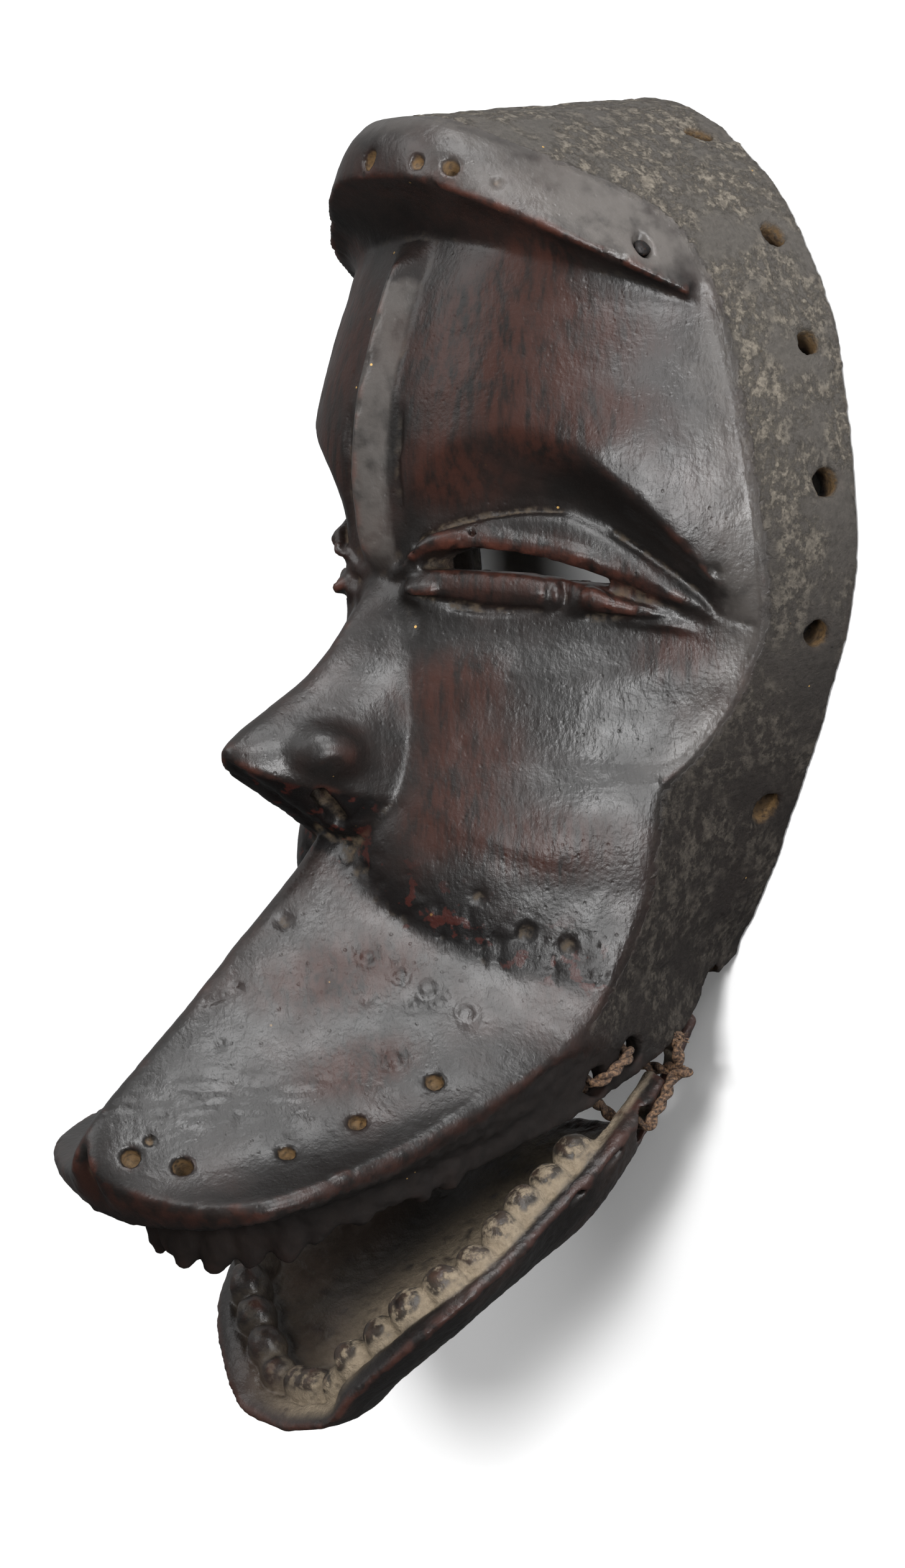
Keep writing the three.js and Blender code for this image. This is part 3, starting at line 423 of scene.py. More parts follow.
def front(t, j):
    """Points of the front: station t on the front edge, ring j from the middle line to it."""
    edge = along(FRONT_EDGE, t)
    share = np.interp(j, range(EDGE_RING + 1), ROW_RINGS)
    to_crease = np.minimum(j / CREASE_RING, 1)
    ledge_share = CREASE_SHARE * to_crease + 0.0075 * np.maximum(j - CREASE_RING, 0)
    rows = front_point(edge, mix(ledge_share, share, smooth(LEDGE_END, LEDGE_END + 0.07, t)))
    rows[..., 2] += (edge[..., 2] - front_point(edge, np.ones_like(share))[..., 2]) * share**6
    rows = np.where((j >= EDGE_RING)[..., None], edge, rows)

    crease = along(LEDGE_CREASE, t)
    crease = np.stack([crease[..., 0], crease[..., 1], forehead(crease[..., 0], crease[..., 1])], -1)
    lip = along(LEDGE_LIP, t)
    s = clamp((j - LIP_RING) / (EDGE_RING - LIP_RING))[..., None]
    face = mix(lip, edge, s)
    face += LEDGE_SWELL * np.sin(np.pi * s) * (1 - t / LEDGE_END)[..., None] * [0, 1, 1]
    s = clamp((j - CREASE_RING) / (LIP_RING - CREASE_RING))[..., None]
    under = mix(crease, lip, s)
    under -= LEDGE_SINK * np.sin(np.pi * s) * (1 - 0.7 * t / LEDGE_END)[..., None] * [0, 0, 1]
    x, y = crease[..., 0] * to_crease, mix(FAN_TOP, crease[..., 1], to_crease)
    fan = np.stack([x, y, carved(x, y, forehead(x, y))], -1)
    ledge = np.where((j >= LIP_RING)[..., None], face, np.where((j >= CREASE_RING)[..., None], under, fan))
    return np.where((t <= LEDGE_END)[..., None], ledge, rows)


def band(t, k):
    """Points of the side band: ring k from the front edge to the rim or the mouth's edge."""
    first, back = along(FRONT_EDGE, t), along(BACK_EDGE, t)
    back[..., 2] = np.maximum(back[..., 2], 0)
    s = np.interp(k, range(BAND_RINGS + 1), BAND_SHARE)
    plain = mix(first, back, s[..., None])
    far = np.maximum(np.hypot(plain[..., 0], plain[..., 1]), 1e-6)
    plain[..., 0] += BAND_SWELL * np.sin(np.pi * s) * plain[..., 0] / far
    low = along(LIP_LOW, t)
    face = mix(first, low, 0.5)
    above = first[..., 2] - LIP_LEVEL
    bulge = LIP_SWELL / np.maximum(np.hypot(first[..., 0], above), 1e-6)
    face[..., 0] *= 1 + bulge
    face[..., 2] += above * bulge
    groove = np.stack([
        mix(back[..., 0], low[..., 0], 0.2), mix(back[..., 1], low[..., 1], 0.75) + 1,
        mix(back[..., 2], low[..., 2], 0.2),
    ], -1)
    rings = [first, face, low, groove, back]
    i = np.clip(np.floor(k).astype(int), 0, BAND_RINGS - 1)
    i = i[..., None]
    lip = mix(np.choose(i, rings[:-1]), np.choose(i, rings[1:]), k[..., None] - i)
    return mix(plain, lip, smooth(0.79, 0.83, t)[..., None])


def outer_face(t, j):
    on_front = (j <= EDGE_RING)[..., None]
    return np.where(on_front, front(t, np.minimum(j, EDGE_RING)), band(t, np.maximum(j - EDGE_RING, 0.0)))


def run_of(edge, t, step=SHORT_STEP):
    """The way along an edge at a station."""
    return along(edge, np.minimum(t + step, 1)) - along(edge, np.maximum(t - step, 0))


def inset_edge(edge, t, wall, out, past):
    """An opening's outer edge, moved in by the wall and along a direction by a distance."""
    run = run_of(edge, t)
    inward = np.cross(out, run)
    inward /= np.linalg.norm(inward, axis=-1)[..., None]
    return along(edge, t) + inward * np.reshape(wall, np.shape(t) + (1,)) + out * past


def open_way(t):
    to_mouth = smooth(0.72, 0.8, t)
    return np.stack([0 * t, -0.95 * to_mouth, mix(-1, -0.25, to_mouth)], -1)


def hollow(t, j):
    wall = mix(RIM_WALL, MOUTH_WALL, smooth(0.745, 0.8, t))
    edge = along(FRONT_EDGE, t)
    level = clamp(edge[..., 1], FAN_LOW, HOLLOW_TOP)
    shrink = 1 - SIDE_WALL / np.hypot(edge[..., 0], edge[..., 1] - level)
    inner_x = edge[..., 0] * shrink
    inner_y = np.minimum(mix(level, edge[..., 1], shrink), 71 - 0.0062 * inner_x**2)
    s = np.minimum(j / HOLLOW_EDGE, 1) ** 0.8
    x, y = inner_x * s, mix(level, inner_y, s)
    plain = plain_face(x, y)
    behind_eye = np.where(np.abs(y) < EYE_TOP, eyed(x, y) - LID_WALL, np.inf)
    in_beak = smooth(-76, -100, y)
    deep = mix(plain - FACE_WALL, soft_max(plain, beak(x, y), 8) - BEAK_WALL, in_beak)
    inner = np.stack([x, y, np.minimum(deep, behind_eye)], -1)
    border = inset_edge(BACK_EDGE, t, wall, open_way(t), WALL_CUT)
    return mix(inner, border, clamp((j - HOLLOW_EDGE) / (HOLLOW_RINGS - HOLLOW_EDGE))[..., None])


def lean_at(points):
    return TIP_LEAN * points[..., 0] * smooth(LEAN_FROM, LEAN_FULL, points[..., 1])


def leaned(points):
    """The beak is carved out of true: its tip leans over."""
    out = np.array(points, float)
    out[..., 1] -= lean_at(out)
    return out


def straightened(points):
    """Points of either half as they lie on the right half before the beak's lean."""
    return np.stack([np.abs(points[:, 0]), points[:, 1] + lean_at(points), points[:, 2]], 1)


def scoop(wall, past, depth_at, steep, rear, rows):
    """A trough below the jaw's rim: a wall inside the rim, and up past the opening."""
    t, j = np.meshgrid(np.linspace(0, 1, rows), np.linspace(0, 1, rows // 3), indexing="ij")

    def edge(at):
        return inset_edge(JAW_RIM, at, wall(at), JAW_DOWN, -past)

    share = np.sin(j * math.pi / 2) ** 0.8
    sunk = depth_at(t) * (1 - share ** mix(6, steep, smooth(0, 0.6, t)))
    points = mix(edge(np.minimum(t, JAW_FAN)) * [0, 1, 1], edge(t), share[..., None])
    points = points + JAW_DOWN * sunk[..., None]
    return np.concatenate([np.broadcast_to(np.array(rear, float), (1,) + points.shape[1:]), points])


# Fields of distances
class Field:
    """Distances to a surface on a grid of voxels, negative inside."""

    reach = 6  # voxels from the surface within which distances are true

    def __init__(self, low, high, voxel):
        self.voxel = voxel
        self.first = np.floor(np.array(low) / voxel).astype(int)
        self.shape = tuple(np.ceil(np.array(high) / voxel).astype(int) - self.first + 1)
        self.transform = openvdb.createLinearTransform(voxelSize=voxel)

    @classmethod
    def made_of(cls, voxel, first, values):
        made = cls.__new__(cls)
        made.voxel, made.first, made.shape, made.values = voxel, first, values.shape, values
        return made

    def of(self, half, settle=leaned):
        """Distances to the closed body that a right half and its mirror image make."""
        half = np.array(half)
        half[:, 0, 0] = half[0, :, 0] = half[-1, :, 0] = 0
        rows, rings = half.shape[:2]
        points = np.concatenate([settle(half), settle(half * [-1, 1, 1])]).reshape(-1, 3)
        index = np.arange(2 * rows * rings).reshape(2, rows, rings)
        quads = [
            np.stack([s[:-1, :-1], s[1:, :-1], s[1:, 1:], s[:-1, 1:]], -1).reshape(-1, 4) for s in index
        ]
        right, left = index[0, :, -1], index[1, :, -1]
        quads.append(np.stack([right[:-1], right[1:], left[1:], left[:-1]], -1))
        grid = openvdb.FloatGrid.createLevelSetFromPolygons(
            points.astype(np.float32), quads=np.concatenate(quads).astype(np.uint32),
            transform=self.transform, halfWidth=float(self.reach),
        )
        values = np.empty(self.shape, np.float32)
        grid.copyToArray(values, ijk=tuple(int(v) for v in self.first))
        return values

    def window(self, low, high):
        """Slices of a box, and the coordinates of its voxels."""
        a = np.clip(np.floor(np.array(low) / self.voxel).astype(int) - self.first, 0, self.shape)
        b = np.clip(np.ceil(np.array(high) / self.voxel).astype(int) - self.first + 1, 0, self.shape)
        span = tuple(slice(m, n) for m, n in zip(a, b))
        axes = [(np.arange(m, n) + f) * self.voxel for m, n, f in zip(a, b, self.first)]
        return span, np.meshgrid(*axes, indexing="ij", sparse=True)

    def at(self, points, values=None):
        """Values between the voxels at points."""
        values = self.values if values is None else values
        p = np.asarray(points) / self.voxel - self.first
        p = np.clip(p, 0, np.array(self.shape) - 1.001)
        i = p.astype(int)
        f = p - i
        total = 0
        for corner in itertools.product((0, 1), repeat=3):
            weight = np.prod(np.where(corner, f, 1 - f), axis=1)
            total = total + weight * values[tuple((i + corner).T)]
        return total

    def slope(self, points):
        """Unit vectors out of the surface at points."""
        steps = np.eye(3) * self.voxel
        out = np.stack([self.at(points + step) - self.at(points - step) for step in steps], -1)
        return out / np.maximum(np.linalg.norm(out, axis=1), 1e-9)[:, None]

    def join(self, centre, reach, shape, blend, cut=False):
        """Adds a shape to the body, or cuts it out, in a box round centre.

        shape(x, y, z) is a distance."""
        centre, reach = np.array(centre, float), np.broadcast_to(reach, 3)
        span, (x, y, z) = self.window(centre - reach, centre + reach)
        here = self.values[span]
        there = shape(x - centre[0], y - centre[1], z - centre[2])
        limit = self.reach * self.voxel
        there = np.clip(there, -limit, limit)
        self.values[span] = soft_max(here, -there, blend) if cut else soft_min(here, there, blend)

    def bore(self, centre, reach, shape, blend=0.8):
        self.join(centre, reach, shape, blend, cut=True)

    def trim(self, span, shape, blend):
        """Cuts a distance out of the body over slices of a box."""
        self.values[span] = soft_max(self.values[span], -shape, blend)

    def draw(self, line, radius, blend, cut=False):
        """Adds a bead along a line of points, or cuts a groove. Its radius may vary along it."""
        line = np.array(line, float)
        radius = np.broadcast_to(np.array(radius, float), len(line))
        middle = (line.min(0) + line.max(0)) / 2
        line = line - middle

        def bead(x, y, z):
            best = np.inf
            for a, b, near, far in zip(line[:-1], line[1:], radius[:-1], radius[1:]):
                run = b - a
                x1, y1, z1 = x - a[0], y - a[1], z - a[2]
                s = clamp((x1 * run[0] + y1 * run[1] + z1 * run[2]) / (run @ run))
                off = (x1 - s * run[0]) ** 2 + (y1 - s * run[1]) ** 2 + (z1 - s * run[2]) ** 2
                best = np.minimum(best, np.sqrt(off) - mix(near, far, s))
            return best

        self.join(middle, line.max(0) + radius.max() + 2 * blend + 1.5, bead, blend, cut)

    def wood_around(self, sigma):
        """Field of half as many voxels a side: the share of wood around, within about sigma."""
        wood = np.clip(0.5 - self.values[::2, ::2, ::2] / (2 * self.voxel), 0, 1)
        coarse = self.voxel * 2
        return Field.made_of(coarse, self.first / 2, blurred(wood.astype(np.float32), sigma / coarse))

    def surface(self):
        far = self.reach * self.voxel * 0.999
        grid = openvdb.FloatGrid()
        grid.background = far
        grid.transform = self.transform
        grid.copyFromArray(np.minimum(self.values, far), ijk=tuple(int(v) for v in self.first))
        points, triangles, quads = grid.convertToPolygons(isovalue=0.0, adaptivity=0.0)
        return np.array(points, float), np.array(quads), np.array(triangles)


def blurred(values, sigma):
    """Gaussian blur of a volume; sigma is in voxels."""
    reach = int(math.ceil(sigma * 2.6))
    taps = np.exp(-0.5 * (np.arange(-reach, reach + 1) / sigma) ** 2)
    taps = (taps / taps.sum()).astype(np.float32)
    for axis in range(3):
        moved = np.moveaxis(values, axis, 0)
        out = moved * taps[reach]
        for k in range(1, reach + 1):
            ahead = np.concatenate([moved[k:], np.repeat(moved[-1:], k, 0)])
            behind = np.concatenate([np.repeat(moved[:1], k, 0), moved[:-k]])
            out += taps[reach + k] * (ahead + behind)
        values = np.ascontiguousarray(np.moveaxis(out, 0, axis))
    return values


def rod(direction, radius, length, flare=0.0):
    """Distance to a round rod along a direction, wider at its ends by flare."""
    way = np.array(direction, float)
    way /= np.linalg.norm(way)

    def shape(x, y, z):
        run = x * way[0] + y * way[1] + z * way[2]
        off = np.sqrt(np.maximum(x * x + y * y + z * z - run * run, 0))
        side = off - radius - flare * clamp(np.abs(run) / 6 - 0.4)
        return np.maximum(side, np.abs(run) - length / 2)

    return shape


def lump(size, power=2.0):
    """Distance to a rounded lump of three half sizes."""
    wide, tall, deep = size

    def shape(x, y, z):
        parts = np.abs(x / wide) ** power + np.abs(y / tall) ** power + np.abs(z / deep) ** power
        return (parts ** (1 / power) - 1) * min(size)

    return shape


def mirrored(places):
    """Pairs of leaned points or lines, on the right and on the left."""
    return [leaned(np.array(places, float) * [side, 1, 1]) for side in (1, -1)]


def both_sides(places):
    """Leaned points, those of the right half first."""
    return np.concatenate(mirrored(places))


def walked_along(line):
    """Length of a line up to each of its points."""
    return np.concatenate([[0], np.cumsum(np.linalg.norm(np.diff(line, axis=0), axis=1))])


def pitched(line, pitch, count):
    """Places 0 to 1 on line(t), at an even pitch counted back from its end at 1."""
    t = np.linspace(1, 0, 1001)
    return np.interp((np.arange(count) + 0.5) * pitch, walked_along(line(t)), t)


def carve_mask():
    field = Field(*MASK_BOX, FINE)
    rings = np.linspace(0, OUTER_RINGS, 11 * OUTER_RINGS + 1)
    outside = outer_face(*np.meshgrid(np.linspace(0, 1, 900), rings, indexing="ij"))
    field.outer = blurred(field.of(outside), 0.55 / field.voxel)
    rings = np.linspace(0, HOLLOW_RINGS, 10 * HOLLOW_RINGS + 1)
    inner = field.of(hollow(*np.meshgrid(np.linspace(0, 1, 500), rings, indexing="ij")))
    field.values = soft_max(field.outer, -blurred(inner, 0.8 / field.voxel), 1.5)
    _, (_, _, above_rim) = field.window(*MASK_BOX)
    field.values = np.maximum(field.values, -above_rim).astype(np.float32)

    carve_nose(field)
    for edge in mirrored(along(FRONT_EDGE, np.linspace(0.31, 0.64, 40)) - [0.45, 0, 0.35]):
        field.draw(edge, 1.0, 0.9)
    upper_teeth(field)
    for x, y, z in both_sides(BAND_HOLES):
        wide = RIM_HOLE / 2 * (1 + 0.05 * rng.normal())
        field.bore((x, y, z), 26, rod([x, y * 0.8, 12], wide, 44, 0.5))
    for centre in both_sides(CORD_HOLES):
        field.bore(centre, (16, 6, 6), rod([1, 0, 0], CORD_HOLE / 2, 30, 0.4))
    for centre in both_sides(BEAK_HOLES):
        way = [np.sign(centre[0]) * (0.5 + 0.1 * rng.normal()), 0.5 + 0.15 * rng.normal(), 0.7]
        wide = BEAK_HOLE / 2 * (1 + 0.09 * rng.normal())
        field.bore(centre, 8, rod(way, wide, 2 * BEAK_HOLE_DEPTH))
    carve_eyes(field)
    field.draw(skin(GASH, 0.3), [0.7, 1.0, 0.9, 1.0, 0.7], 0.4, cut=True)
    for centre, wide, deep in LEDGE_HOLES:
        field.bore(centre, 7, rod([0.3, 0.75, 0.6], wide, deep), 0.7)
    nail_pit(field)
    return field, outside


def carve_nose(field):
    """Full wings, and an underside with a groove below each wing."""
    for centre in mirrored(WING_AT):
        field.join(centre, 16, lump(WING_SIZE), 2.6)
    span, (x, y, z) = field.window((-17, -68, 100), (17, -44, 136))
    brink = nose_brink(np.abs(x)) + 0 * y
    under = (y - brink - (z - height(np.abs(x) + 0 * y, brink)) / NOSE_UNDER) * 0.87
    field.trim(span, np.maximum(under, -68 - y), 0.5)
    for line in mirrored([[9, -61, 111], [8, -68, 104]]):
        field.draw(line, 2.2, 1.0, cut=True)


def upper_teeth(field):
    """Pointed teeth that hang from the mouth's edge; both sides have their own irregularities."""
    places = pitched(lambda t: along(BACK_EDGE, t), TOOTH_PITCH, len(UPPER_TEETH))
    for n, t in enumerate(places):
        t = np.array(t)
        root = inset_edge(BACK_EDGE, t, MOUTH_WALL / 2 - 1.3, open_way(t), -4.0)
        run = run_of(BACK_EDGE, t, 0.01)
        angle = math.atan2(-run[2], run[0])
        for side in (1, -1):
            long = UPPER_TEETH[n] + 0.7 * rng.normal()
            wide = TOOTH_WIDE + 0.7 * rng.normal() + (n == WIDE_TOOTH) * 1.4
            thick = TOOTH_THICK + 0.3 * rng.normal()
            turn = side * angle
            hook, blunt = 0.9 * rng.normal(), 2.2 + 0.45 * rng.normal()

            def tooth(x, y, z, long=long, wide=wide, thick=thick, turn=turn, hook=hook, blunt=blunt):
                down = np.maximum(-y / long, 0)
                u = x * math.cos(turn) - z * math.sin(turn) - hook * down**2 * 2
                v = x * math.sin(turn) + z * math.cos(turn)
                body = (np.abs(u / wide) ** 1.7 + np.abs(v / thick) ** 2 + down**blunt) ** 0.55 - 1
                return np.maximum(body * 3.4, y - 1)

            field.join(leaned([side * root[0], root[1], root[2]]), (12, 19, 12), tooth, 0.7)


def carve_eyes(field):
    """Lids with rolled rims, a slit between them, a broken lower lid, and knobs at the inner corner."""
    def line(places, lift):
        return mirrored(skin(places, lift))

    rim_x = np.linspace(15, 48, 24)
    rim_y = along(SLIT_TOP, rim_x) + 2.1 + 0.3 * noise(np.stack([rim_x] * 3, 1), 5, 21)
    for at in line(np.stack([rim_x, rim_y], 1), -1.0):
        field.draw(at, np.interp(rim_x, [15, 21, 40, 48], [1.2, 2.8, 3.1, 1.2]), 1.3)
    for at in line(LID_FOLD, -0.3):
        field.draw(at, [0.9, 1.2, 1.4, 1.5, 1.3], 1.2)
    for x, y, size in KNOBS:
        for at in line([[x, y]], -size * 0.4):
            field.join(at[0], size + 4, lump([size * 1.1, size, size * 1.2]), 1.8)
    for at in line([[36.8, -13.6], [36.4, -18.4]], [1.6, 1.2]):
        field.draw(at, [3.7, 3.2], 0.9, cut=True)
    for x, y, size in CRUMBS:
        for at in line([[x, y]], -2.2):
            field.join(at[0], size + 4, lump([size * 0.9, size * 1.7, size]), 1.6)
    for at in line(LID_WEDGE, -0.6):
        field.draw(at, [2.8, 2.5, 1.9, 1.2, 0.5], 0.5)
    for places, lift, radius in EYE_CREASES:
        for at in line(places, lift):
            field.draw(at, radius, 0.4, cut=True)

    span, (x, y, z) = field.window((-50, -24, 22), (50, 2, 110))
    across = np.abs(x)
    inner_end, outer_end = SLIT_ENDS
    share = clamp((across - inner_end) / (outer_end - inner_end))
    ends = np.minimum(across - inner_end, outer_end - across)
    high = SLIT_HIGH / 2 * np.sqrt(np.maximum(4 * share * (1 - share), 0)) ** 0.7
    slit = np.maximum(np.abs(y - along(SLIT_TOP, across) + SLIT_HIGH * 0.42) - high, -ends)
    field.trim(span, slit + 0 * z, 0.5)


def nail_pit(field):
    """The chip round the nail, with a short groove off it, and the nail's own hole."""
    out = np.array(NAIL_OUT) / np.linalg.norm(NAIL_OUT)
    at = np.array(NAIL_AT)
    field.bore(at + [0.5, 1.2, 0.2], 9, lump([3.2, 4.2, 2.4], 2.4), 0.7)
    field.draw([at + [0.5, 2.5, 0], at + [1.8, 5.6, -1.2]], [1.8, 1.0], 0.6, cut=True)
    field.bore(at - out * 4, 8, rod(NAIL_OUT, 1.8, 10), 0.4)


def carve_jaw():
    field = Field(*JAW_BOX, FINE * 0.85)
    rows = 420

    def depth(t):
        return mix(9, JAW_DEPTH, smooth(0, 0.4, t))

    def trough_depth(t):
        return mix(14, JAW_DEPTH - JAW_FLOOR, smooth(0, 0.4, t)) + WALL_CUT

    hull = scoop(lambda t: 0 * t, 0, depth, 2.1, [0, -118, 11], rows)
    trough = scoop(lambda t: along(JAW_WALL, t), WALL_CUT, trough_depth, 4.5, [0, -95, 0], rows)
    field.outer = blurred(field.of(hull, np.array), 1.3 / field.voxel)
    field.values = soft_max(field.outer, -field.of(trough, np.array), 1.2).astype(np.float32)
    bevel_rim(field)
    at = np.linspace(0.24, 1, 60)
    gutter = inset_edge(JAW_RIM, at, along(JAW_WALL, at) + 0.5, JAW_DOWN, -0.2)
    for side in (1, -1):
        field.draw(gutter * [side, 1, 1], 1.6, 0.8, cut=True)

    def mound_line(t):
        return inset_edge(JAW_RIM, t, along(JAW_WALL, t) + 4, JAW_DOWN, 1.2)

    for n, t in enumerate(pitched(mound_line, MOUND_PITCH, MOUNDS)):
        centre = mound_line(t)
        run = run_of(JAW_RIM, t, 0.02)
        for side in (1, -1):
            size = 1.03 + 0.06 * math.sin(n * 1.9) + 0.05 * rng.normal()
            deep = mix(7.5, 4.2, smooth(0.55, 0.95, t))
            field.join(centre * [side, 1, 1], 13, mound(run * [side, 1, 1], size, deep), 0.9)
    for y, z in JAW_HOLES:
        for side in (1, -1):
            field.bore([side * 41, y, z], (20, 7, 7), rod([1, 0, 0], JAW_HOLE / 2, 34, 0.4))
    for y, z, long in JAW_SLOTS:
        run = np.array([0, 0.69, -0.73]) * long
        for side in (1, -1):
            ends = [[side * 44, y, z] - run, [side * 42, y, z] + run]
            field.draw(ends, [1.3, 1.0], 0.4, cut=True)
    for places, radius in JAW_CRACKS:
        field.draw(places, radius, 0.3, cut=True)
    return field


def seen_from_above(points):
    """Points of the jaw laid flat along its depth, both sides on the right."""
    _, up_y, up_z = JAW_UP
    return np.stack([np.abs(points[:, 0]), points[:, 1] * up_z - points[:, 2] * up_y, 0 * points[:, 0]], 1)


def bevel_rim(field):
    """Slopes the jaw's rim down to its outer edge."""
    _, up_y, up_z = JAW_UP
    t = np.linspace(0, 1, 300)
    rim = along(JAW_RIM, t)
    flat = seen_from_above(rim)[:, :2]
    side, run = np.meshgrid(np.arange(0, 58), np.arange(-220, 10), indexing="ij")
    off = np.linalg.norm(np.stack([side, run], -1)[:, :, None] - flat, axis=-1)
    nearest = off.argmin(-1)
    inset, high = off.min(-1), (rim @ JAW_UP)[nearest]
    steep = mix(0.5, 0.25, smooth(0.6, 0.95, t))[nearest]
    drop = high - steep * np.maximum(BEVEL - inset, 0)
    span, (x, y, z) = field.window(*JAW_BOX)
    u, v = np.abs(x) + 0 * y + 0 * z, (y * up_z - z * up_y) + 220 + 0 * x
    i, k = np.clip(u.astype(int), 0, 56), np.clip(np.floor(v).astype(int), 0, 228)
    a, b = u - i, clamp(v - k)
    top = mix(mix(drop[i, k], drop[i + 1, k], a), mix(drop[i, k + 1], drop[i + 1, k + 1], a), b)
    field.trim(span, (top - (y * up_y + z * up_z)) * 0.9, 1.6)


def mound(run, size, deep):
    """Distance to a blunt tooth that stands up from the jaw, wider along a run of the rim."""
    along_rim = run - JAW_UP * (run @ JAW_UP)
    along_rim /= np.linalg.norm(along_rim)
    across = np.cross(JAW_UP, along_rim)
    lean = 0.25 * rng.normal()
    half, thick, tall = MOUND_HALF

    def shape(x, y, z):
        u, v, w = (x * a[0] + y * a[1] + z * a[2] for a in (along_rim, across, JAW_UP))
        u = u - lean * np.maximum(w, 0) * 0.4
        narrow = 1 - 0.14 * clamp(w / (6 * size))
        body = np.abs(u / (half * size * narrow)) ** 2.6 + np.abs(v / (thick * narrow)) ** 2.4
        body = body + np.abs(w / np.where(w > 0, tall * size, deep)) ** 2.4
        return (body ** (1 / 2.4) - 1) * 3.8

    return shape


# Meshes
def placed_object(name, data):
    made = bpy.data.objects.new(name, data)
    bpy.context.scene.collection.objects.link(made)
    return made


def mesh_object(name, points, faces):
    """A smooth mesh object in the part's frame, from millimetres in the carver's frame."""
    mesh = bpy.data.meshes.new(name)
    placed = (np.asarray(points, float) + [0, CENTRE_Y, 0]) * MM
    mesh.from_pydata(placed.tolist(), [], [list(map(int, f)) for f in faces])
    mesh.update()
    mesh.shade_smooth()
    return placed_object(name, mesh)


def grid_mesh(name, points, quads, triangles):
    """The same for a field's surface, which is too large for lists."""
    mesh = bpy.data.meshes.new(name)
    placed = ((points + [0, CENTRE_Y, 0]) * MM).astype(np.float32)
    count = len(quads) * 4 + len(triangles) * 3
    corners = np.concatenate([quads.ravel(), triangles.ravel()]).astype(np.int32)
    starts = np.concatenate([np.arange(len(quads)) * 4, len(quads) * 4 + np.arange(len(triangles)) * 3])
    mesh.vertices.add(len(placed))
    mesh.vertices.foreach_set("co", placed.ravel())
    mesh.loops.add(count)
    mesh.loops.foreach_set("vertex_index", corners)
    mesh.polygons.add(len(quads) + len(triangles))
    mesh.polygons.foreach_set("loop_start", starts.astype(np.int32))
    mesh.update(calc_edges=True)
    mesh.validate()
    return placed_object(name, mesh)


def decimated(made, most):
    """The object with no more than that many triangles."""
    triangles = sum(len(p.vertices) - 2 for p in made.data.polygons)
    if triangles > most:
        thin = made.modifiers.new("thin", "DECIMATE")
        thin.ratio = most / triangles
        shown = made.evaluated_get(bpy.context.evaluated_depsgraph_get())
        mesh = bpy.data.meshes.new_from_object(shown)
        old = made.data
        made.modifiers.clear()
        made.data = mesh
        bpy.data.meshes.remove(old)
    made.data.shade_smooth()
    return made


def vertices_of(made):
    out = np.empty(len(made.data.vertices) * 3, np.float32)
    made.data.vertices.foreach_get("co", out)
    return out.reshape(-1, 3).astype(float) / MM - [0, CENTRE_Y, 0]


def paint(made, name, values):
    layer = made.data.attributes.new(name, "FLOAT", "POINT")
    layer.data.foreach_set("value", np.asarray(values, np.float32))


# Weather and wear
def nearest_of(points, places):
    """For each place, which of the points is the nearest, and how far off it is."""
    tree = KDTree(len(points))
    for n, point in enumerate(points):
        tree.insert(point, n)
    tree.balance()
    found, off = zip(*(tree.find(place)[1:] for place in places))
    return np.array(found), np.array(off)


def rings_at(outside, places):
    """Station and ring of the outer face nearest to each place on the right half."""
    t_step, j_step = 4, 3
    some = outside[::t_step, ::j_step]
    wide = some.shape[1]
    found, _ = nearest_of(some.reshape(-1, 3), places)
    t = (found // wide) * t_step / (outside.shape[0] - 1)
    j = (found % wide) * j_step / (outside.shape[1] - 1) * OUTER_RINGS
    return t, j


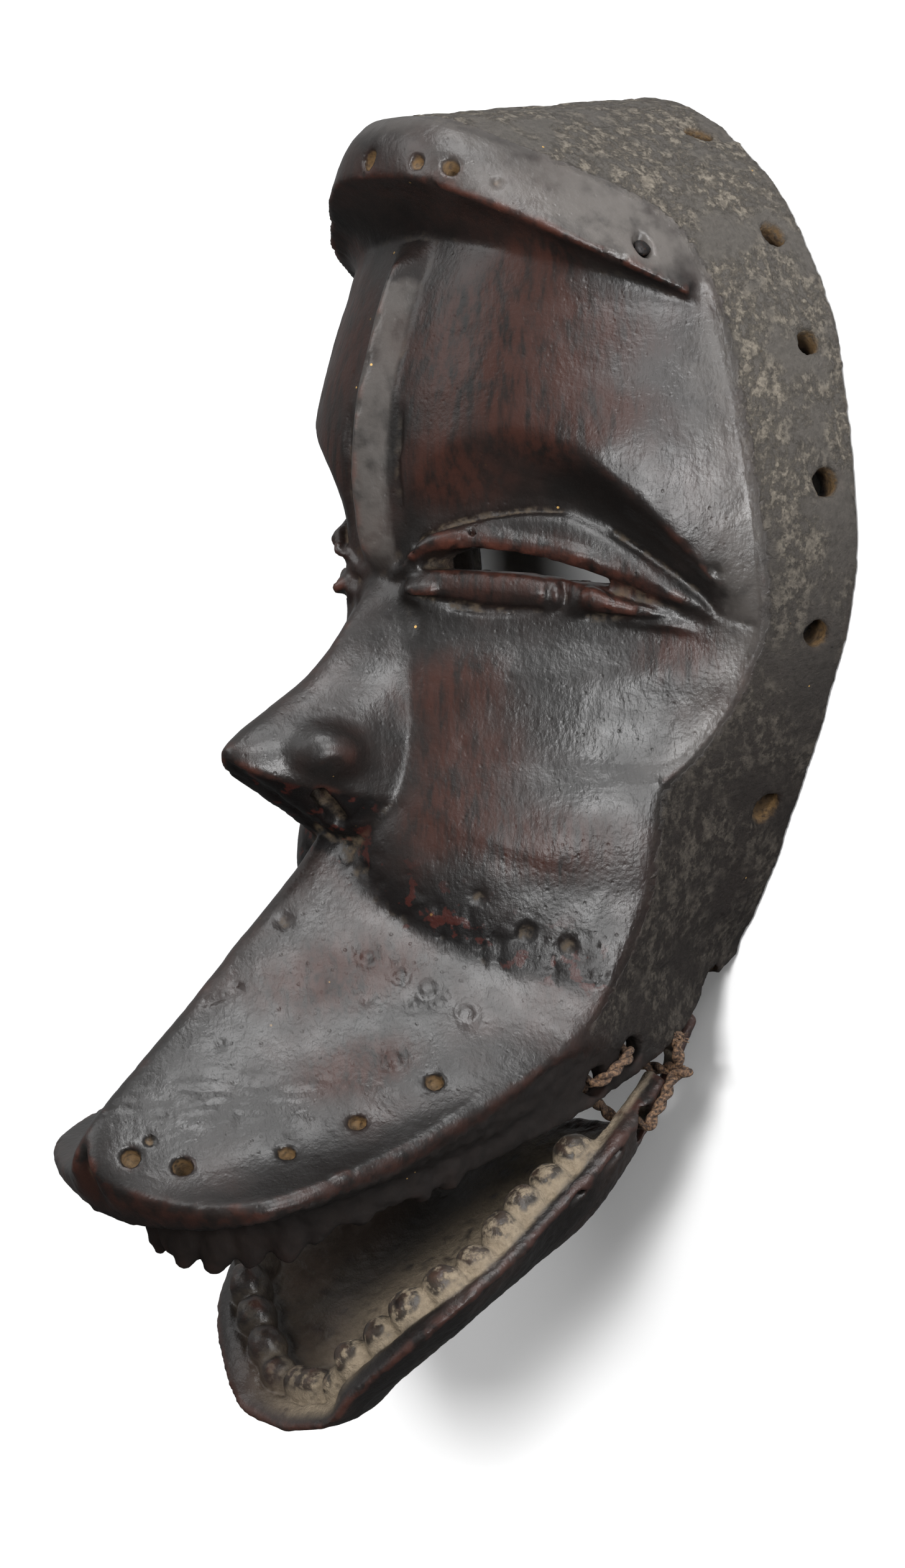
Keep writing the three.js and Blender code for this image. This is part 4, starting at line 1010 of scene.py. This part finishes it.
def mask_regions(field, outside, points):
    """Shares of each kind of surface at points of the mask."""
    places = straightened(points)
    t, j = rings_at(outside, places)
    x, y, z = places.T
    inside = smooth(2.5, 5, -field.at(points, field.outer))
    outward = 1 - inside
    band = smooth(EDGE_RING + 0.02, EDGE_RING + 0.3, j) * (1 - smooth(0.79, 0.81, t)) * outward
    # The mouth's share is painted shade: the underside of the beak's lip, the mouth's edge and the teeth
    # hanging from it are coloured near black for the shade inside the mouth.
    mouth = smooth(0.78, 0.82, t) * smooth(EDGE_RING + 1.4, EDGE_RING + 2.2, j) * outward
    # This share darkens two places. The crease above the beak is sooty wood, with painted shade reaching
    # further up the down-facing slope above it. The underside of the nose is painted shade alone.
    off = from_line(places, skin(BEAK_CREASE))
    above = y - np.interp(x, *np.array(BEAK_CREASE).T)
    soot_and_painted_shade = np.where(above > 0, smooth(17, 4, off), smooth(4, 0, off)) * outward * (1 - band)
    under = smooth(0.2, 1.4, nose_brink(x) - y) * smooth(20, 16, x) * smooth(-74, -70, y)
    under *= smooth(1, 4, z - plain_face(x, y)) * outward
    soot_and_painted_shade = np.maximum(soot_and_painted_shade, under)
    ruddy = sum(smooth(reach, reach * 0.3, np.hypot(x - u, y - v)) for u, v, reach in RUDDY)
    holes = np.array(BEAK_HOLES + BAND_HOLES + [hole[0] for hole in LEDGE_HOLES])
    nearest = np.min([np.linalg.norm(places - hole, axis=1) for hole in holes], axis=0)
    pit = smooth(0.5, 1.6, -field.at(points, field.outer)) * smooth(9, 6, nearest) * (1 - 0.6 * inside)
    # A worn grey strip along the upper front edge and on the ridge's flanks. On the ledge's face the same
    # grey is a painted reflection, growing from the middle towards the ledge's ends.
    border = smooth(EDGE_RING - 1.7, EDGE_RING - 0.3, j) * smooth(0.66, 0.6, t)
    ledge = smooth(LIP_RING, LIP_RING + 0.6, j) * smooth(LEDGE_END, LEDGE_END - 0.03, t)
    ledge *= smooth(0, 0.22, t)
    ridge = smooth(6.6, 5.4, x) * smooth(66, 60, y) * smooth(-12, -4, y) * (t > LEDGE_END)
    border = np.maximum(np.maximum(0.55 * border, 0.6 * ridge), ledge) * outward * (1 - band)
    lip = smooth(0.8, 0.83, t) * smooth(EDGE_RING + 0.1, EDGE_RING + 0.5, j) * outward * (1 - mouth)
    return {
        "inside": inside, "band": band, "mouth": mouth, "soot_and_painted_shade": soot_and_painted_shade, "pit": pit, "lip": lip,
        "ruddy": clamp(ruddy) * outward * (1 - band), "crown": band * smooth(-75, 50, y),
        "border": border,
    }


def dent(points, centre, radius, depth):
    """A shallow round dent, in mm inwards."""
    d = np.linalg.norm(points - np.array(centre), axis=1) / radius
    return -depth * np.where(d < 1, (1 - d * d) ** 2, 0)


def plug(points, centre, radius, depth):
    """A round plug set in the wood: a groove round a low disc, in mm outwards."""
    d = np.linalg.norm(points - np.array(centre), axis=1) + 0.35 * noise(points, 2.5, 22)
    return 0.5 * depth * smooth(radius, radius - 0.9, d) - depth * np.exp(-(((d - radius) / 0.65) ** 2))


def from_line(points, line):
    """Distance from points to a line of points."""
    best = np.full(len(points), 1e9)
    for a, b in zip(line[:-1], line[1:]):
        run = b - a
        s = clamp((points - a) @ run / (run @ run))
        best = np.minimum(best, np.linalg.norm(points - a - s[:, None] * run, axis=1))
    return best


def weather_mask(field, outside, points):
    """Moves the mask's points along their normals: carving marks, crust, pits, plugs and chips."""
    normal = field.slope(points)
    near = mask_regions(field, outside, points)
    outward, band, soot_and_painted_shade = 1 - near["inside"], near["band"], near["soot_and_painted_shade"]
    places = straightened(points)
    convex = 0.5 - field.wood_around(2.0).at(points)
    move = outward * (0.17 * noise(points, 15) + 0.1 * noise(points, 6, 1) + 0.07 * noise(points, 2.8, 2))
    flakes = smooth(-0.02, 0.16, noise(points * [1, 0.7, 1], 8, 2) + 0.7 * noise(points, 3, 3))
    move += band * (flakes * (0.12 + 0.2 * near["crown"]) + 0.14 * noise(points, 2, 4) - 0.12)
    pits = smooth(0.15, 0.5, noise(points, 3.4, 9) + 0.4 * noise(points, 1.8, 10))
    move += soot_and_painted_shade * (0.16 * noise(points, 4.5, 16) - 0.26 * pits)
    x, y, _ = places.T
    rubbed = smooth(-120, -128, y) * smooth(-138, -131, y) * outward
    move -= 0.22 * rubbed * smooth(0.0, 0.5, noise(points * [1, 5, 1], 7, 17)) * smooth(30, 24, x)
    move -= outward * (1 - band) * 0.16 * smooth(0.14, 0.06, cells(points, 9, 15))
    move += near["mouth"] * (0.45 * noise(points, 3.2, 19) + 0.25 * noise(points, 1.7, 20))
    for centre, radius, depth in DENTS:
        move += dent(places, centre, radius, depth)
    for centre, radius in PLUGS:
        move += plug(places, centre, radius, PLUG_DEPTH)
    gouges = cells(points * [1, 1, 0.6], 10, 6)
    move += near["inside"] * (1.5 * (gouges - 0.5) + 0.2 * noise(points, 3, 7))
    chips = smooth(0.08, 0.2, convex) * smooth(0.25, 0.6, noise(points, 4.5, 8))
    move -= outward * 0.7 * chips * (1 - 0.7 * near["mouth"]) * smooth(2, 14, points[:, 2])
    moved = points + normal * move[:, None]
    moved[:, 2] = np.maximum(moved[:, 2], 0)
    return moved


def jaw_regions(field, points):
    """Shares of trough and teeth, and of rim, at points of the jaw."""
    t = np.linspace(0, 1, 240)
    found, off = nearest_of(seen_from_above(along(JAW_RIM, t)), seen_from_above(points))
    at = t[found]
    inset = off - along(JAW_WALL, at)
    above = (points * [0, 1, 1] - along(JAW_RIM, at) * [0, 1, 1]) @ JAW_UP
    trough = smooth(1.5, 4, -field.at(points, field.outer))
    inner = np.maximum(trough, smooth(-1.8, -0.2, inset) * smooth(-6, -3, above))
    # Painted shade: the dust thins out towards the far side, so the trough's far wall, which lies in
    # shade, stays dark.
    dust_and_painted_shade = mix(0.08, 1, smooth(-18, 10, points[:, 0]))
    return {
        "inside": inner, "rim": smooth(-2.5, -1, above) * (1 - inner),
        "tooth": inner * smooth(-1.5, 1.5, above), "dust_and_painted_shade": inner * dust_and_painted_shade,
    }


def weather_jaw(field, points):
    normal = field.slope(points)
    near = jaw_regions(field, points)
    convex = 0.5 - field.wood_around(1.6).at(points)
    move = 0.18 * noise(points, 12, 11) + 0.1 * noise(points, 4, 12)
    move += near["inside"] * 0.2 * noise(points, 2.6, 13)
    move += (1 - near["inside"]) * (1 - near["rim"]) * 0.2 * noise(points * [1, 2, 1], 3, 18)
    chips = smooth(0.1, 0.22, convex) * smooth(0.35, 0.65, noise(points, 4, 14))
    return points + normal * (move - 0.35 * chips * (1 - 0.5 * near["inside"]))[:, None]


def paint_wood(made, field, regions):
    """Attributes that the wood's material reads: worn edges, dust in creases, and broad recesses darkened
    with patina and painted shade.
    """
    points = vertices_of(made)
    close, wide = field.wood_around(1.8).at(points) - 0.5, field.wood_around(6.0).at(points) - 0.5
    paint(made, "wear", clamp(-close * 4.5))
    paint(made, "crease", clamp(close * 5))
    paint(made, "hollow", clamp(wide * 5))
    for name, values in regions(points).items():
        paint(made, name, values)


# Materials
def rgb(*seen):
    """Colour from its 0 to 255 values as seen."""
    shares = [v / 255 for v in seen]
    return *(v / 12.92 if v <= 0.04045 else ((v + 0.055) / 1.055) ** 2.4 for v in shares), 1.0


class Nodes:
    """Short calls for building a material."""

    def __init__(self, name, **settings):
        self.material = bpy.data.materials.new(name)
        self.material.use_nodes = True
        self.tree = self.material.node_tree
        self.shader = next(n for n in self.tree.nodes if n.type == "BSDF_PRINCIPLED")
        self.place = self.add("TexCoord").outputs["Object"]
        for socket, value in settings.items():
            self.shader.inputs[socket].default_value = value

    def add(self, kind, settings=(), **inputs):
        node = self.tree.nodes.new("ShaderNode" + kind)
        for name, value in dict(settings).items():
            setattr(node, name, value)
        for name, value in inputs.items():
            self.put(node, name, value)
        return node

    def put(self, node, name, value):
        """Sets an input. A name such as i2 is the input in that place."""
        by_place = name[0] == "i" and name[1:].isdigit()
        socket = node.inputs[int(name[1:]) if by_place else name]
        if isinstance(value, bpy.types.NodeSocket):
            self.tree.links.new(value, socket)
        else:
            socket.default_value = value

    def shade(self, color, rough, *bumps):
        """Links the shader. A bump is its height and its distance in mm, the lowest first."""
        self.put(self.shader, "Base Color", color)
        if rough:
            self.put(self.shader, "Roughness", rough)
        normal = {}
        for height, distance in bumps:
            bump = self.add("Bump", {}, Height=height, Distance=distance * MM, Strength=1.0, **normal)
            normal = {"Normal": bump.outputs["Normal"]}
        self.put(self.shader, "Normal", normal["Normal"])
        return self.material

    def attribute(self, name):
        return self.add("Attribute", {"attribute_name": name}).outputs["Fac"]

    def noise(self, size, detail=3.0, rough=0.55, stretch=None):
        """Noise of about 0 to 1 with lumps of a size in mm."""
        place = self.place
        if stretch:
            place = self.add("Mapping", {}, Vector=place, Scale=stretch).outputs["Vector"]
        return self.add(
            "TexNoise", {}, Vector=place, Scale=1 / (size * MM), Detail=detail, Roughness=rough
        ).outputs["Fac"]

    def cells(self, size):
        return self.add("TexVoronoi", {}, Vector=self.place, Scale=1 / (size * MM)).outputs["Distance"]

    def maths(self, kind, *values, clamped=False):
        """All the values taken together by an operation, from the first to the last."""
        out = values[0]
        for value in values[1:]:
            out = self.add("Math", {"operation": kind, "use_clamp": clamped}, i0=out, i1=value).outputs[0]
        return out

    def times(self, *values):
        return self.maths("MULTIPLY", *values, clamped=True)

    def most(self, *values):
        return self.maths("MAXIMUM", *values)

    def without(self, value):
        return self.maths("SUBTRACT", 1.0, value)

    def span(self, value, low, high, to_low=0.0, to_high=1.0):
        return self.add("MapRange", {"interpolation_type": "SMOOTHSTEP"}, **{
            "Value": value, "From Min": low, "From Max": high, "To Min": to_low, "To Max": to_high,
        }).outputs["Result"]

    def tint(self, below, above, factor):
        """A mix of two colours. Each is a socket or three values from 0 to 255, as seen."""
        below, above = (rgb(*c) if isinstance(c, tuple) else c for c in (below, above))
        return self.add("Mix", {"data_type": "RGBA"}, i0=factor, i6=below, i7=above).outputs[2]

    def level(self, below, above, factor):
        return self.add("Mix", {"data_type": "FLOAT"}, i0=factor, i2=below, i3=above).outputs[0]


def wood_material():
    m = Nodes("dark_hardwood")
    wear, crease, hollow_patina_and_shade, side, inside, mouth, soot_and_painted_shade, ruddy, crown, pit, border, lip = map(m.attribute, (
        "wear", "crease", "hollow", "band", "inside", "mouth", "soot_and_painted_shade", "ruddy", "crown", "pit", "border",
        "lip",
    ))
    clouds, spots, fine = m.noise(30, 4), m.noise(6, 4), m.noise(1.3, 3)
    streaks = m.noise(2.2, 4, 0.6, (1, 0.16, 1))
    color = m.tint((17, 15, 14), (30, 23, 21), m.span(clouds, 0.4, 0.66))
    red = m.most(ruddy, m.times(m.span(clouds, 0.5, 0.7), 0.4))
    color = m.tint(color, (54, 31, 25), m.times(red, m.span(streaks, 0.3, 0.62), 0.6))
    # Near black in the broad recesses of the face: dark patina with painted shade.
    deep = m.times(m.span(hollow_patina_and_shade, 0.15, 0.8), m.without(side))
    color = m.tint(color, (11, 9, 9), m.times(deep, 0.8))
    # Worn grey along the front edge and the ridge, and a painted reflection on the ledge's face.
    color = m.tint(color, (78, 74, 71), m.times(border, m.span(spots, 0.1, 0.6)))
    worn = m.times(m.span(wear, 0.3, 0.85), m.span(spots, 0.38, 0.6))
    color = m.tint(color, (76, 41, 31), m.times(worn, m.level(0.45, 0.25, lip)))
    color = m.tint(color, (44, 26, 21), m.times(lip, m.span(spots, 0.3, 0.6), 0.6))
    # Near black: sooty wood with its painted shade in the crease above the beak, and painted shade under
    # the nose.
    color = m.tint(color, (13, 12, 12), m.times(soot_and_painted_shade, 0.9))
    color = m.tint(color, (60, 26, 21), m.times(soot_and_painted_shade, m.span(m.noise(5, 3), 0.58, 0.64), 0.5))
    dark_grain = m.tint((24, 21, 20), (42, 37, 34), fine)
    pale_grain = m.tint((62, 59, 56), (94, 90, 85), fine)
    color = m.tint(color, m.tint(dark_grain, pale_grain, crown), m.times(side, 0.9))
    flaky = m.span(m.noise(3.2, 9, 0.78, (1, 0.7, 1)), 0.44, 0.55)
    patchy = m.span(m.noise(14, 4), 0.36, 0.56)
    crust = m.times(m.most(crown, m.times(side, 0.25)), flaky, patchy)
    crust_color = m.tint((90, 84, 76), (134, 126, 113), m.span(fine, 0.3, 0.7))
    color = m.tint(color, crust_color, m.times(crust, 0.65))
    # Painted shade in the mouth: lip underside, mouth's edge and teeth near black.
    color = m.tint(color, m.tint((12, 10, 10), (26, 20, 17), spots), m.times(mouth, 0.9))
    color = m.tint(color, m.tint((34, 29, 26), (56, 46, 39), spots), m.times(inside, 0.9))
    color = m.tint(color, (112, 88, 58), m.times(pit, m.span(fine, 0.2, 0.6), 0.8))
    dust = m.times(m.span(crease, 0.3, 0.85), m.span(m.noise(3, 4), 0.4, 0.66), m.without(mouth))
    color = m.tint(color, (100, 86, 68), m.times(dust, 0.35))
    speck = m.times(m.span(m.cells(9), 0.045, 0.03), m.span(m.noise(20, 2), 0.5, 0.6))
    color = m.tint(color, (170, 136, 78), speck)
    rough = m.level(0.31, 0.4, m.span(m.noise(9, 5), 0.3, 0.7))
    rough = m.level(rough, 0.7, m.times(side, 0.9))
    rough = m.level(rough, 0.85, m.most(dust, inside, pit, mouth))
    shares = (mouth, 0.8), (soot_and_painted_shade, 0.6), (deep, 0.6), (ruddy, 0.75), (lip, 0.7)
    matte = m.most(side, inside, *(m.times(*share) for share in shares))
    m.put(m.shader, "Specular IOR Level", m.level(0.55, 0.22, matte))
    pores = m.maths("ADD", m.times(fine, 0.55), m.times(m.span(m.cells(2.8), 0.0, 0.22), 0.3))
    grit = m.times(m.noise(1.1, 5, 0.72), m.most(side, m.times(inside, 0.7)))
    tools = m.noise(2.4, 3, 0.6, (1, 0.35, 1))
    return m.shade(color, rough, (tools, 0.14), (pores, 0.19), (crust, 0.35), (grit, 1.0))


def jaw_material():
    m = Nodes("jaw_hardwood")
    wear, crease, dust_and_painted_shade, tooth = map(m.attribute, ("wear", "crease", "dust_and_painted_shade", "tooth"))
    clouds, spots, fine = m.noise(24, 4), m.noise(5, 4), m.noise(1.2, 3)
    color = m.tint((22, 19, 18), (38, 30, 27), m.span(clouds, 0.4, 0.66))
    worn = m.times(m.span(wear, 0.4, 0.9), m.span(spots, 0.36, 0.58), 0.4)
    color = m.tint(color, (68, 38, 30), worn)
    # Pale dust in the trough, thinned towards the far side as painted shade.
    dust = m.times(dust_and_painted_shade, m.span(m.noise(4.5, 4), 0.2, 0.52))
    bare = m.times(tooth, m.span(m.noise(2.6, 4), 0.36, 0.54), m.span(wear, 0.0, 0.4))
    dust = m.times(dust, m.without(m.times(bare, 0.9)))
    dust = m.most(dust, m.times(crease, dust_and_painted_shade, 0.9))
    color = m.tint(color, m.tint((96, 85, 71), (142, 129, 110), fine), m.times(dust, 0.9))
    rough = m.level(m.level(0.33, 0.45, spots), 0.92, dust)
    grit = m.times(m.noise(0.9, 4, 0.7), dust)
    return m.shade(color, rough, (m.noise(2.6, 3, 0.6), 0.25), (fine, 0.15), (grit, 0.6))


def cord_material():
    m = Nodes("plant_fibre", Roughness=0.85)
    fibres = m.noise(0.8, 3, 0.6)
    return m.shade(m.tint((40, 30, 25), (106, 82, 62), m.span(fibres, 0.35, 0.72)), None, (fibres, 0.3))


def iron_material():
    m = Nodes("black_iron", Metallic=0.7)
    rust = m.noise(1.2, 4)
    color = m.tint((38, 36, 36), (74, 52, 40), m.span(rust, 0.55, 0.7))
    return m.shade(color, m.span(rust, 0.3, 0.7, 0.35, 0.7), (rust, 0.2))


# Cords and nail
def smooth_line(points, steps):
    """A smooth line through points."""
    points = np.array(points, float)
    ends = np.concatenate([points[:1], points, points[-1:]])
    out = []
    for a, b, c, d in zip(ends[:-3], ends[1:-2], ends[2:-1], ends[3:]):
        s = np.linspace(0, 1, steps, endpoint=False)[:, None]
        square, cube = 2 * a - 5 * b + 4 * c - d, 3 * b - a - 3 * c + d
        out.append(0.5 * (2 * b + (c - a) * s + square * s**2 + cube * s**3))
    return np.concatenate(out + [points[-1:]])


def ring_faces(rows, sides):
    """Faces of a closed body through rows of points, each row a ring, with flat ends."""
    faces = []
    for n in range(rows - 1):
        for k in range(sides):
            a, b = n * sides + k, n * sides + (k + 1) % sides
            faces.append([a, b, b + sides, a + sides])
    return faces + [list(range(sides))[::-1], [(rows - 1) * sides + k for k in range(sides)]]


def merged(parts):
    """Points and faces of several bodies as one."""
    points, faces, count = [], [], 0
    for more, more_faces in parts:
        faces += [[i + count for i in face] for face in more_faces]
        points.append(more)
        count += len(more)
    return np.concatenate(points), faces


def square_to(line):
    """Two unit vectors square to a line at each of its points, with no twist along it."""
    run = np.gradient(line, axis=0)
    run /= np.linalg.norm(run, axis=1)[:, None]
    side = np.cross(run[0], [0.31, 0.87, 0.38])
    sides = []
    for way in run:
        side = side - way * (side @ way)
        side /= np.linalg.norm(side)
        sides.append(side)
    sides = np.array(sides)
    return sides, np.cross(run, sides)


def tube(line, radius, sides):
    """Points and faces of a round tube along a line. Its radius may vary along it."""
    line = np.array(line, float)
    u, v = square_to(line)
    angle = np.arange(sides) / sides * 2 * math.pi
    radius = np.broadcast_to(radius, len(line))[:, None, None]
    ring = u[:, None] * np.cos(angle)[None, :, None] + v[:, None] * np.sin(angle)[None, :, None]
    return (line[:, None] + ring * radius).reshape(-1, 3), ring_faces(len(line), sides)


def twisted(line, radius, pitch):
    """Points and faces of strands laid round each other along a line."""
    u, v = square_to(line)
    turns = walked_along(line) / pitch * 2 * math.pi
    parts = []
    for n in range(STRANDS):
        angle = turns + n * 2 * math.pi / STRANDS
        offset = u * np.cos(angle)[:, None] + v * np.sin(angle)[:, None]
        wobble = 1 + 0.08 * noise(line, 2.2, 30 + n)
        parts.append(tube(line + offset * radius * 0.44, radius * 0.6 * wobble, 10))
    return merged(parts)


def wood_side(field, side, y, z):
    """How far out the wood is on one side, at a height and depth."""
    x = np.arange(62, 20, -0.2)
    places = np.stack([side * x, np.full_like(x, y), np.full_like(x, z)], 1)
    return x[np.argmax(field.at(places, field.outer) < 0)]


def lashing_line(side):
    """The cord's way: a knot, in through the jaw, out and back in at the face, out round the jaw."""
    high, low = (leaned([side * x, y, z]) for x, y, z in CORD_HOLES)
    (rear_y, rear_z), (fore_y, fore_z) = JAW_HOLES
    proud = CORD * 0.42

    def on(field, y, z, off=0.0):
        return [wood_side(field, side, y, z) + proud + off, y, z]

    mid_y, mid_z = (high[1] + low[1]) / 2, (high[2] + low[2]) / 2
    jaw_y, jaw_z = (rear_y + fore_y) / 2, (rear_z + fore_z) / 2
    route = [
        KNOT_TIE, [39.5, rear_y + 3.4, rear_z + 1.4], [37, rear_y + 0.6, rear_z], [33, rear_y, rear_z],
        [28.4, rear_y, rear_z + 1], [27, rear_y + 3, rear_z + 8], [31, high[1] - 2.5, high[2] - 5],
        [36, high[1], high[2]], [41, high[1] + 0.3, high[2] + 0.2],
        on(mask_field, high[1] - 0.8, high[2] + 1.8), on(mask_field, mid_y, mid_z, 0.5),
        on(mask_field, low[1] + 0.8, low[2] - 1.8),
        [41, low[1] - 0.3, low[2] - 0.2], [37, low[1], low[2]],
        [33, low[1] - 2, low[2] - 3], [29.5, fore_y + 6, fore_z + 9], [29.5, fore_y + 0.5, fore_z + 1.5],
        [35, fore_y, fore_z], [40, fore_y - 0.3, fore_z], on(jaw_field, fore_y + 1.6, fore_z - 1.4, 0.1),
        on(jaw_field, jaw_y, jaw_z, 0.6), on(jaw_field, rear_y - 1.6, rear_z + 1.4, 0.1),
        [40.5, rear_y - 0.4, rear_z - 0.6], [36, rear_y - 0.8, rear_z - 1],
    ]
    return smooth_line(np.array(route) * [side, 1, 1], 12)


def lashing(side, name):
    """A cord with a small knot of three turns and the loose fibres of its end."""
    knot = np.array(KNOT_TIE) * [side, 1, 1]
    parts = [twisted(lashing_line(side), CORD / 2, 9)]
    for n in range(3):
        spin = n * 2.1 + 0.4
        angle = np.linspace(0, 2 * math.pi, 26)
        loop = knot + np.stack([
            side * (1.3 * np.cos(angle) * math.cos(spin) + 0.2 * n),
            1.25 * np.cos(angle) * math.sin(spin), 1.25 * np.sin(angle),
        ], 1)
        parts.append(twisted(loop, 0.85, 4))
    for n in range(14):
        way = rng.normal(size=3) * [0.7, 0.55, 0.8] + [side * 0.6, 0, 0.2]
        way /= np.linalg.norm(way)
        start = knot + way * 0.8
        bend = rng.normal(size=3) * 0.5
        fibre_line = [start, start + way * 1.2 + bend * 0.4, start + way * 2.2 + bend]
        parts.append(tube(smooth_line(fibre_line, 4), 0.16, 5))
    return mesh_object(name, *merged(parts))


def nail_object():
    out = Vector(NAIL_OUT).normalized()
    turn = np.array(Vector((0, 0, 1)).rotation_difference(out).to_matrix())
    outline = [  # radius, and place along the nail from the top of its head
        (0.05, -8), (0.85, -6.5), (1.35, -5), (1.3, -1.7), (1.9, -1.5), (2.1, -1.0), (1.95, -0.5),
        (1.2, -0.12), (0.05, 0),
    ]
    sides = 20
    points = []
    for r, z in outline:
        for k in range(sides):
            a = k / sides * 2 * math.pi
            uneven = 1 + 0.06 * math.sin(3 * a + 1) + 0.04 * math.sin(5 * a)
            points.append([r * uneven * math.cos(a), r * uneven * math.sin(a), z])
    return mesh_object("iron_nail", np.array(points) @ turn.T + NAIL_AT, ring_faces(len(outline), sides))


# The object
mask_field, outside = carve_mask()
points, quads, triangles = mask_field.surface()
points = weather_mask(mask_field, outside, points)
mask = decimated(grid_mesh("carved_mask", points, quads, triangles), MASK_TRIANGLES)
paint_wood(mask, mask_field, lambda at: mask_regions(mask_field, outside, at))
jaw_field = carve_jaw()
points, quads, triangles = jaw_field.surface()
points = weather_jaw(jaw_field, points)
jaw = decimated(grid_mesh("carved_jaw", points, quads, triangles), JAW_TRIANGLES)
paint_wood(jaw, jaw_field, lambda at: jaw_regions(jaw_field, at))

pieces = [
    (mask, "face", "mask", "hardwood", wood_material()),
    (jaw, "lower_jaw", "jaw", "jaw_wood", jaw_material()),
]
fibre = cord_material()
for side, node in ((1, "lashing_left"), (-1, "lashing_right")):
    pieces.append((lashing(side, "cord_" + node.split("_")[1]), "face", node, "fibre", fibre))
pieces.append((nail_object(), "face", "nail", "iron", iron_material()))
for piece, body, node, slot, material in pieces:
    piece.data.materials.append(material)
    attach(piece, body)
    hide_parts(node)


# Studio
AIM = Vector((0, -61.5 + CENTRE_Y, 63)) * MM
LOOK_FROM, LOOK_UP, LOOK_DISTANCE = math.radians(50), math.radians(3), 1.5
VIEW_HEIGHT = 371.98 * MM  # seen at the aim
SENSOR = 36
FLOOR_WIDE, FLOOR_LOW, FLOOR_COLOR = 6.0, -0.0002, (0.86, 0.86, 0.86, 1)
LAMPS = [  # name, direction from the aim, distance and size in metres, power in watts
    ("key", (0.5, 0.1, 0.85), 2.6, 0.55, 70), ("top", (-0.2, 0.64, 0.74), 2.6, 1.8, 22),
    ("crown", (0.24, 0.95, 0.14), 2.0, 0.65, 11), ("front", (0.96, 0.06, 0.26), 2.0, 0.5, 19),
    ("side", (0.74, 0.64, 0.19), 2.0, 0.75, 20),
]
WORLD = {"From Min": -0.4, "From Max": 0.9, "To Min": 0.05, "To Max": 0.6}


def camera():
    across = math.cos(LOOK_UP)
    out = Vector((math.sin(LOOK_FROM) * across, math.sin(LOOK_UP), math.cos(LOOK_FROM) * across))
    right = Vector((math.cos(LOOK_FROM), 0, -math.sin(LOOK_FROM)))
    turn = Matrix((right, out.cross(right), out)).transposed().to_4x4()
    lens = bpy.data.cameras.new("camera")
    lens.sensor_fit = "VERTICAL"
    lens.sensor_height = SENSOR
    lens.lens = SENSOR * LOOK_DISTANCE / VIEW_HEIGHT
    made = placed_object("camera", lens)
    made.matrix_world = Matrix.Translation(AIM + out * LOOK_DISTANCE) @ turn
    bpy.context.scene.camera = made


def softbox(name, way, distance, size, power):
    light = bpy.data.lights.new(name, "AREA")
    light.shape, light.size, light.energy = "SQUARE", size, power
    made = placed_object(name, light)
    made.location = AIM + Vector(way).normalized() * distance
    made.rotation_euler = (made.location - AIM).to_track_quat("Z", "Y").to_euler()
    made.visible_glossy = name != "key"  # it lights the floor and the dust; the others give the sheen


def floor():
    mesh = bpy.data.meshes.new("floor")
    square = (-1, -1), (1, -1), (1, 1), (-1, 1)
    corners = [(x * FLOOR_WIDE, y * FLOOR_WIDE, FLOOR_LOW) for x, y in square]
    mesh.from_pydata(corners, [], [(0, 1, 2, 3)])
    matte = {"Base Color": FLOOR_COLOR, "Roughness": 0.9}
    mesh.materials.append(Nodes("pale_floor", **matte).material)
    made = placed_object("floor", mesh)
    made.visible_glossy = False  # the polish mirrors the studio, not the bright floor


def world():
    """Light from all round, weaker from below the chin than from above the crown."""
    made = bpy.data.worlds.new("studio")
    bpy.context.scene.world = made
    made.use_nodes = True
    tree, back = made.node_tree, made.node_tree.nodes["Background"]
    back.inputs["Color"].default_value = (1, 1, 1, 1)
    split, span = tree.nodes.new("ShaderNodeSeparateXYZ"), tree.nodes.new("ShaderNodeMapRange")
    tree.links.new(tree.nodes.new("ShaderNodeTexCoord").outputs["Generated"], split.inputs[0])
    tree.links.new(split.outputs["Y"], span.inputs["Value"])
    tree.links.new(span.outputs["Result"], back.inputs["Strength"])
    for name, value in WORLD.items():
        span.inputs[name].default_value = value


camera()
floor()
world()
for lamp in LAMPS:
    softbox(*lamp)
bpy.context.scene.view_settings.view_transform = "Standard"
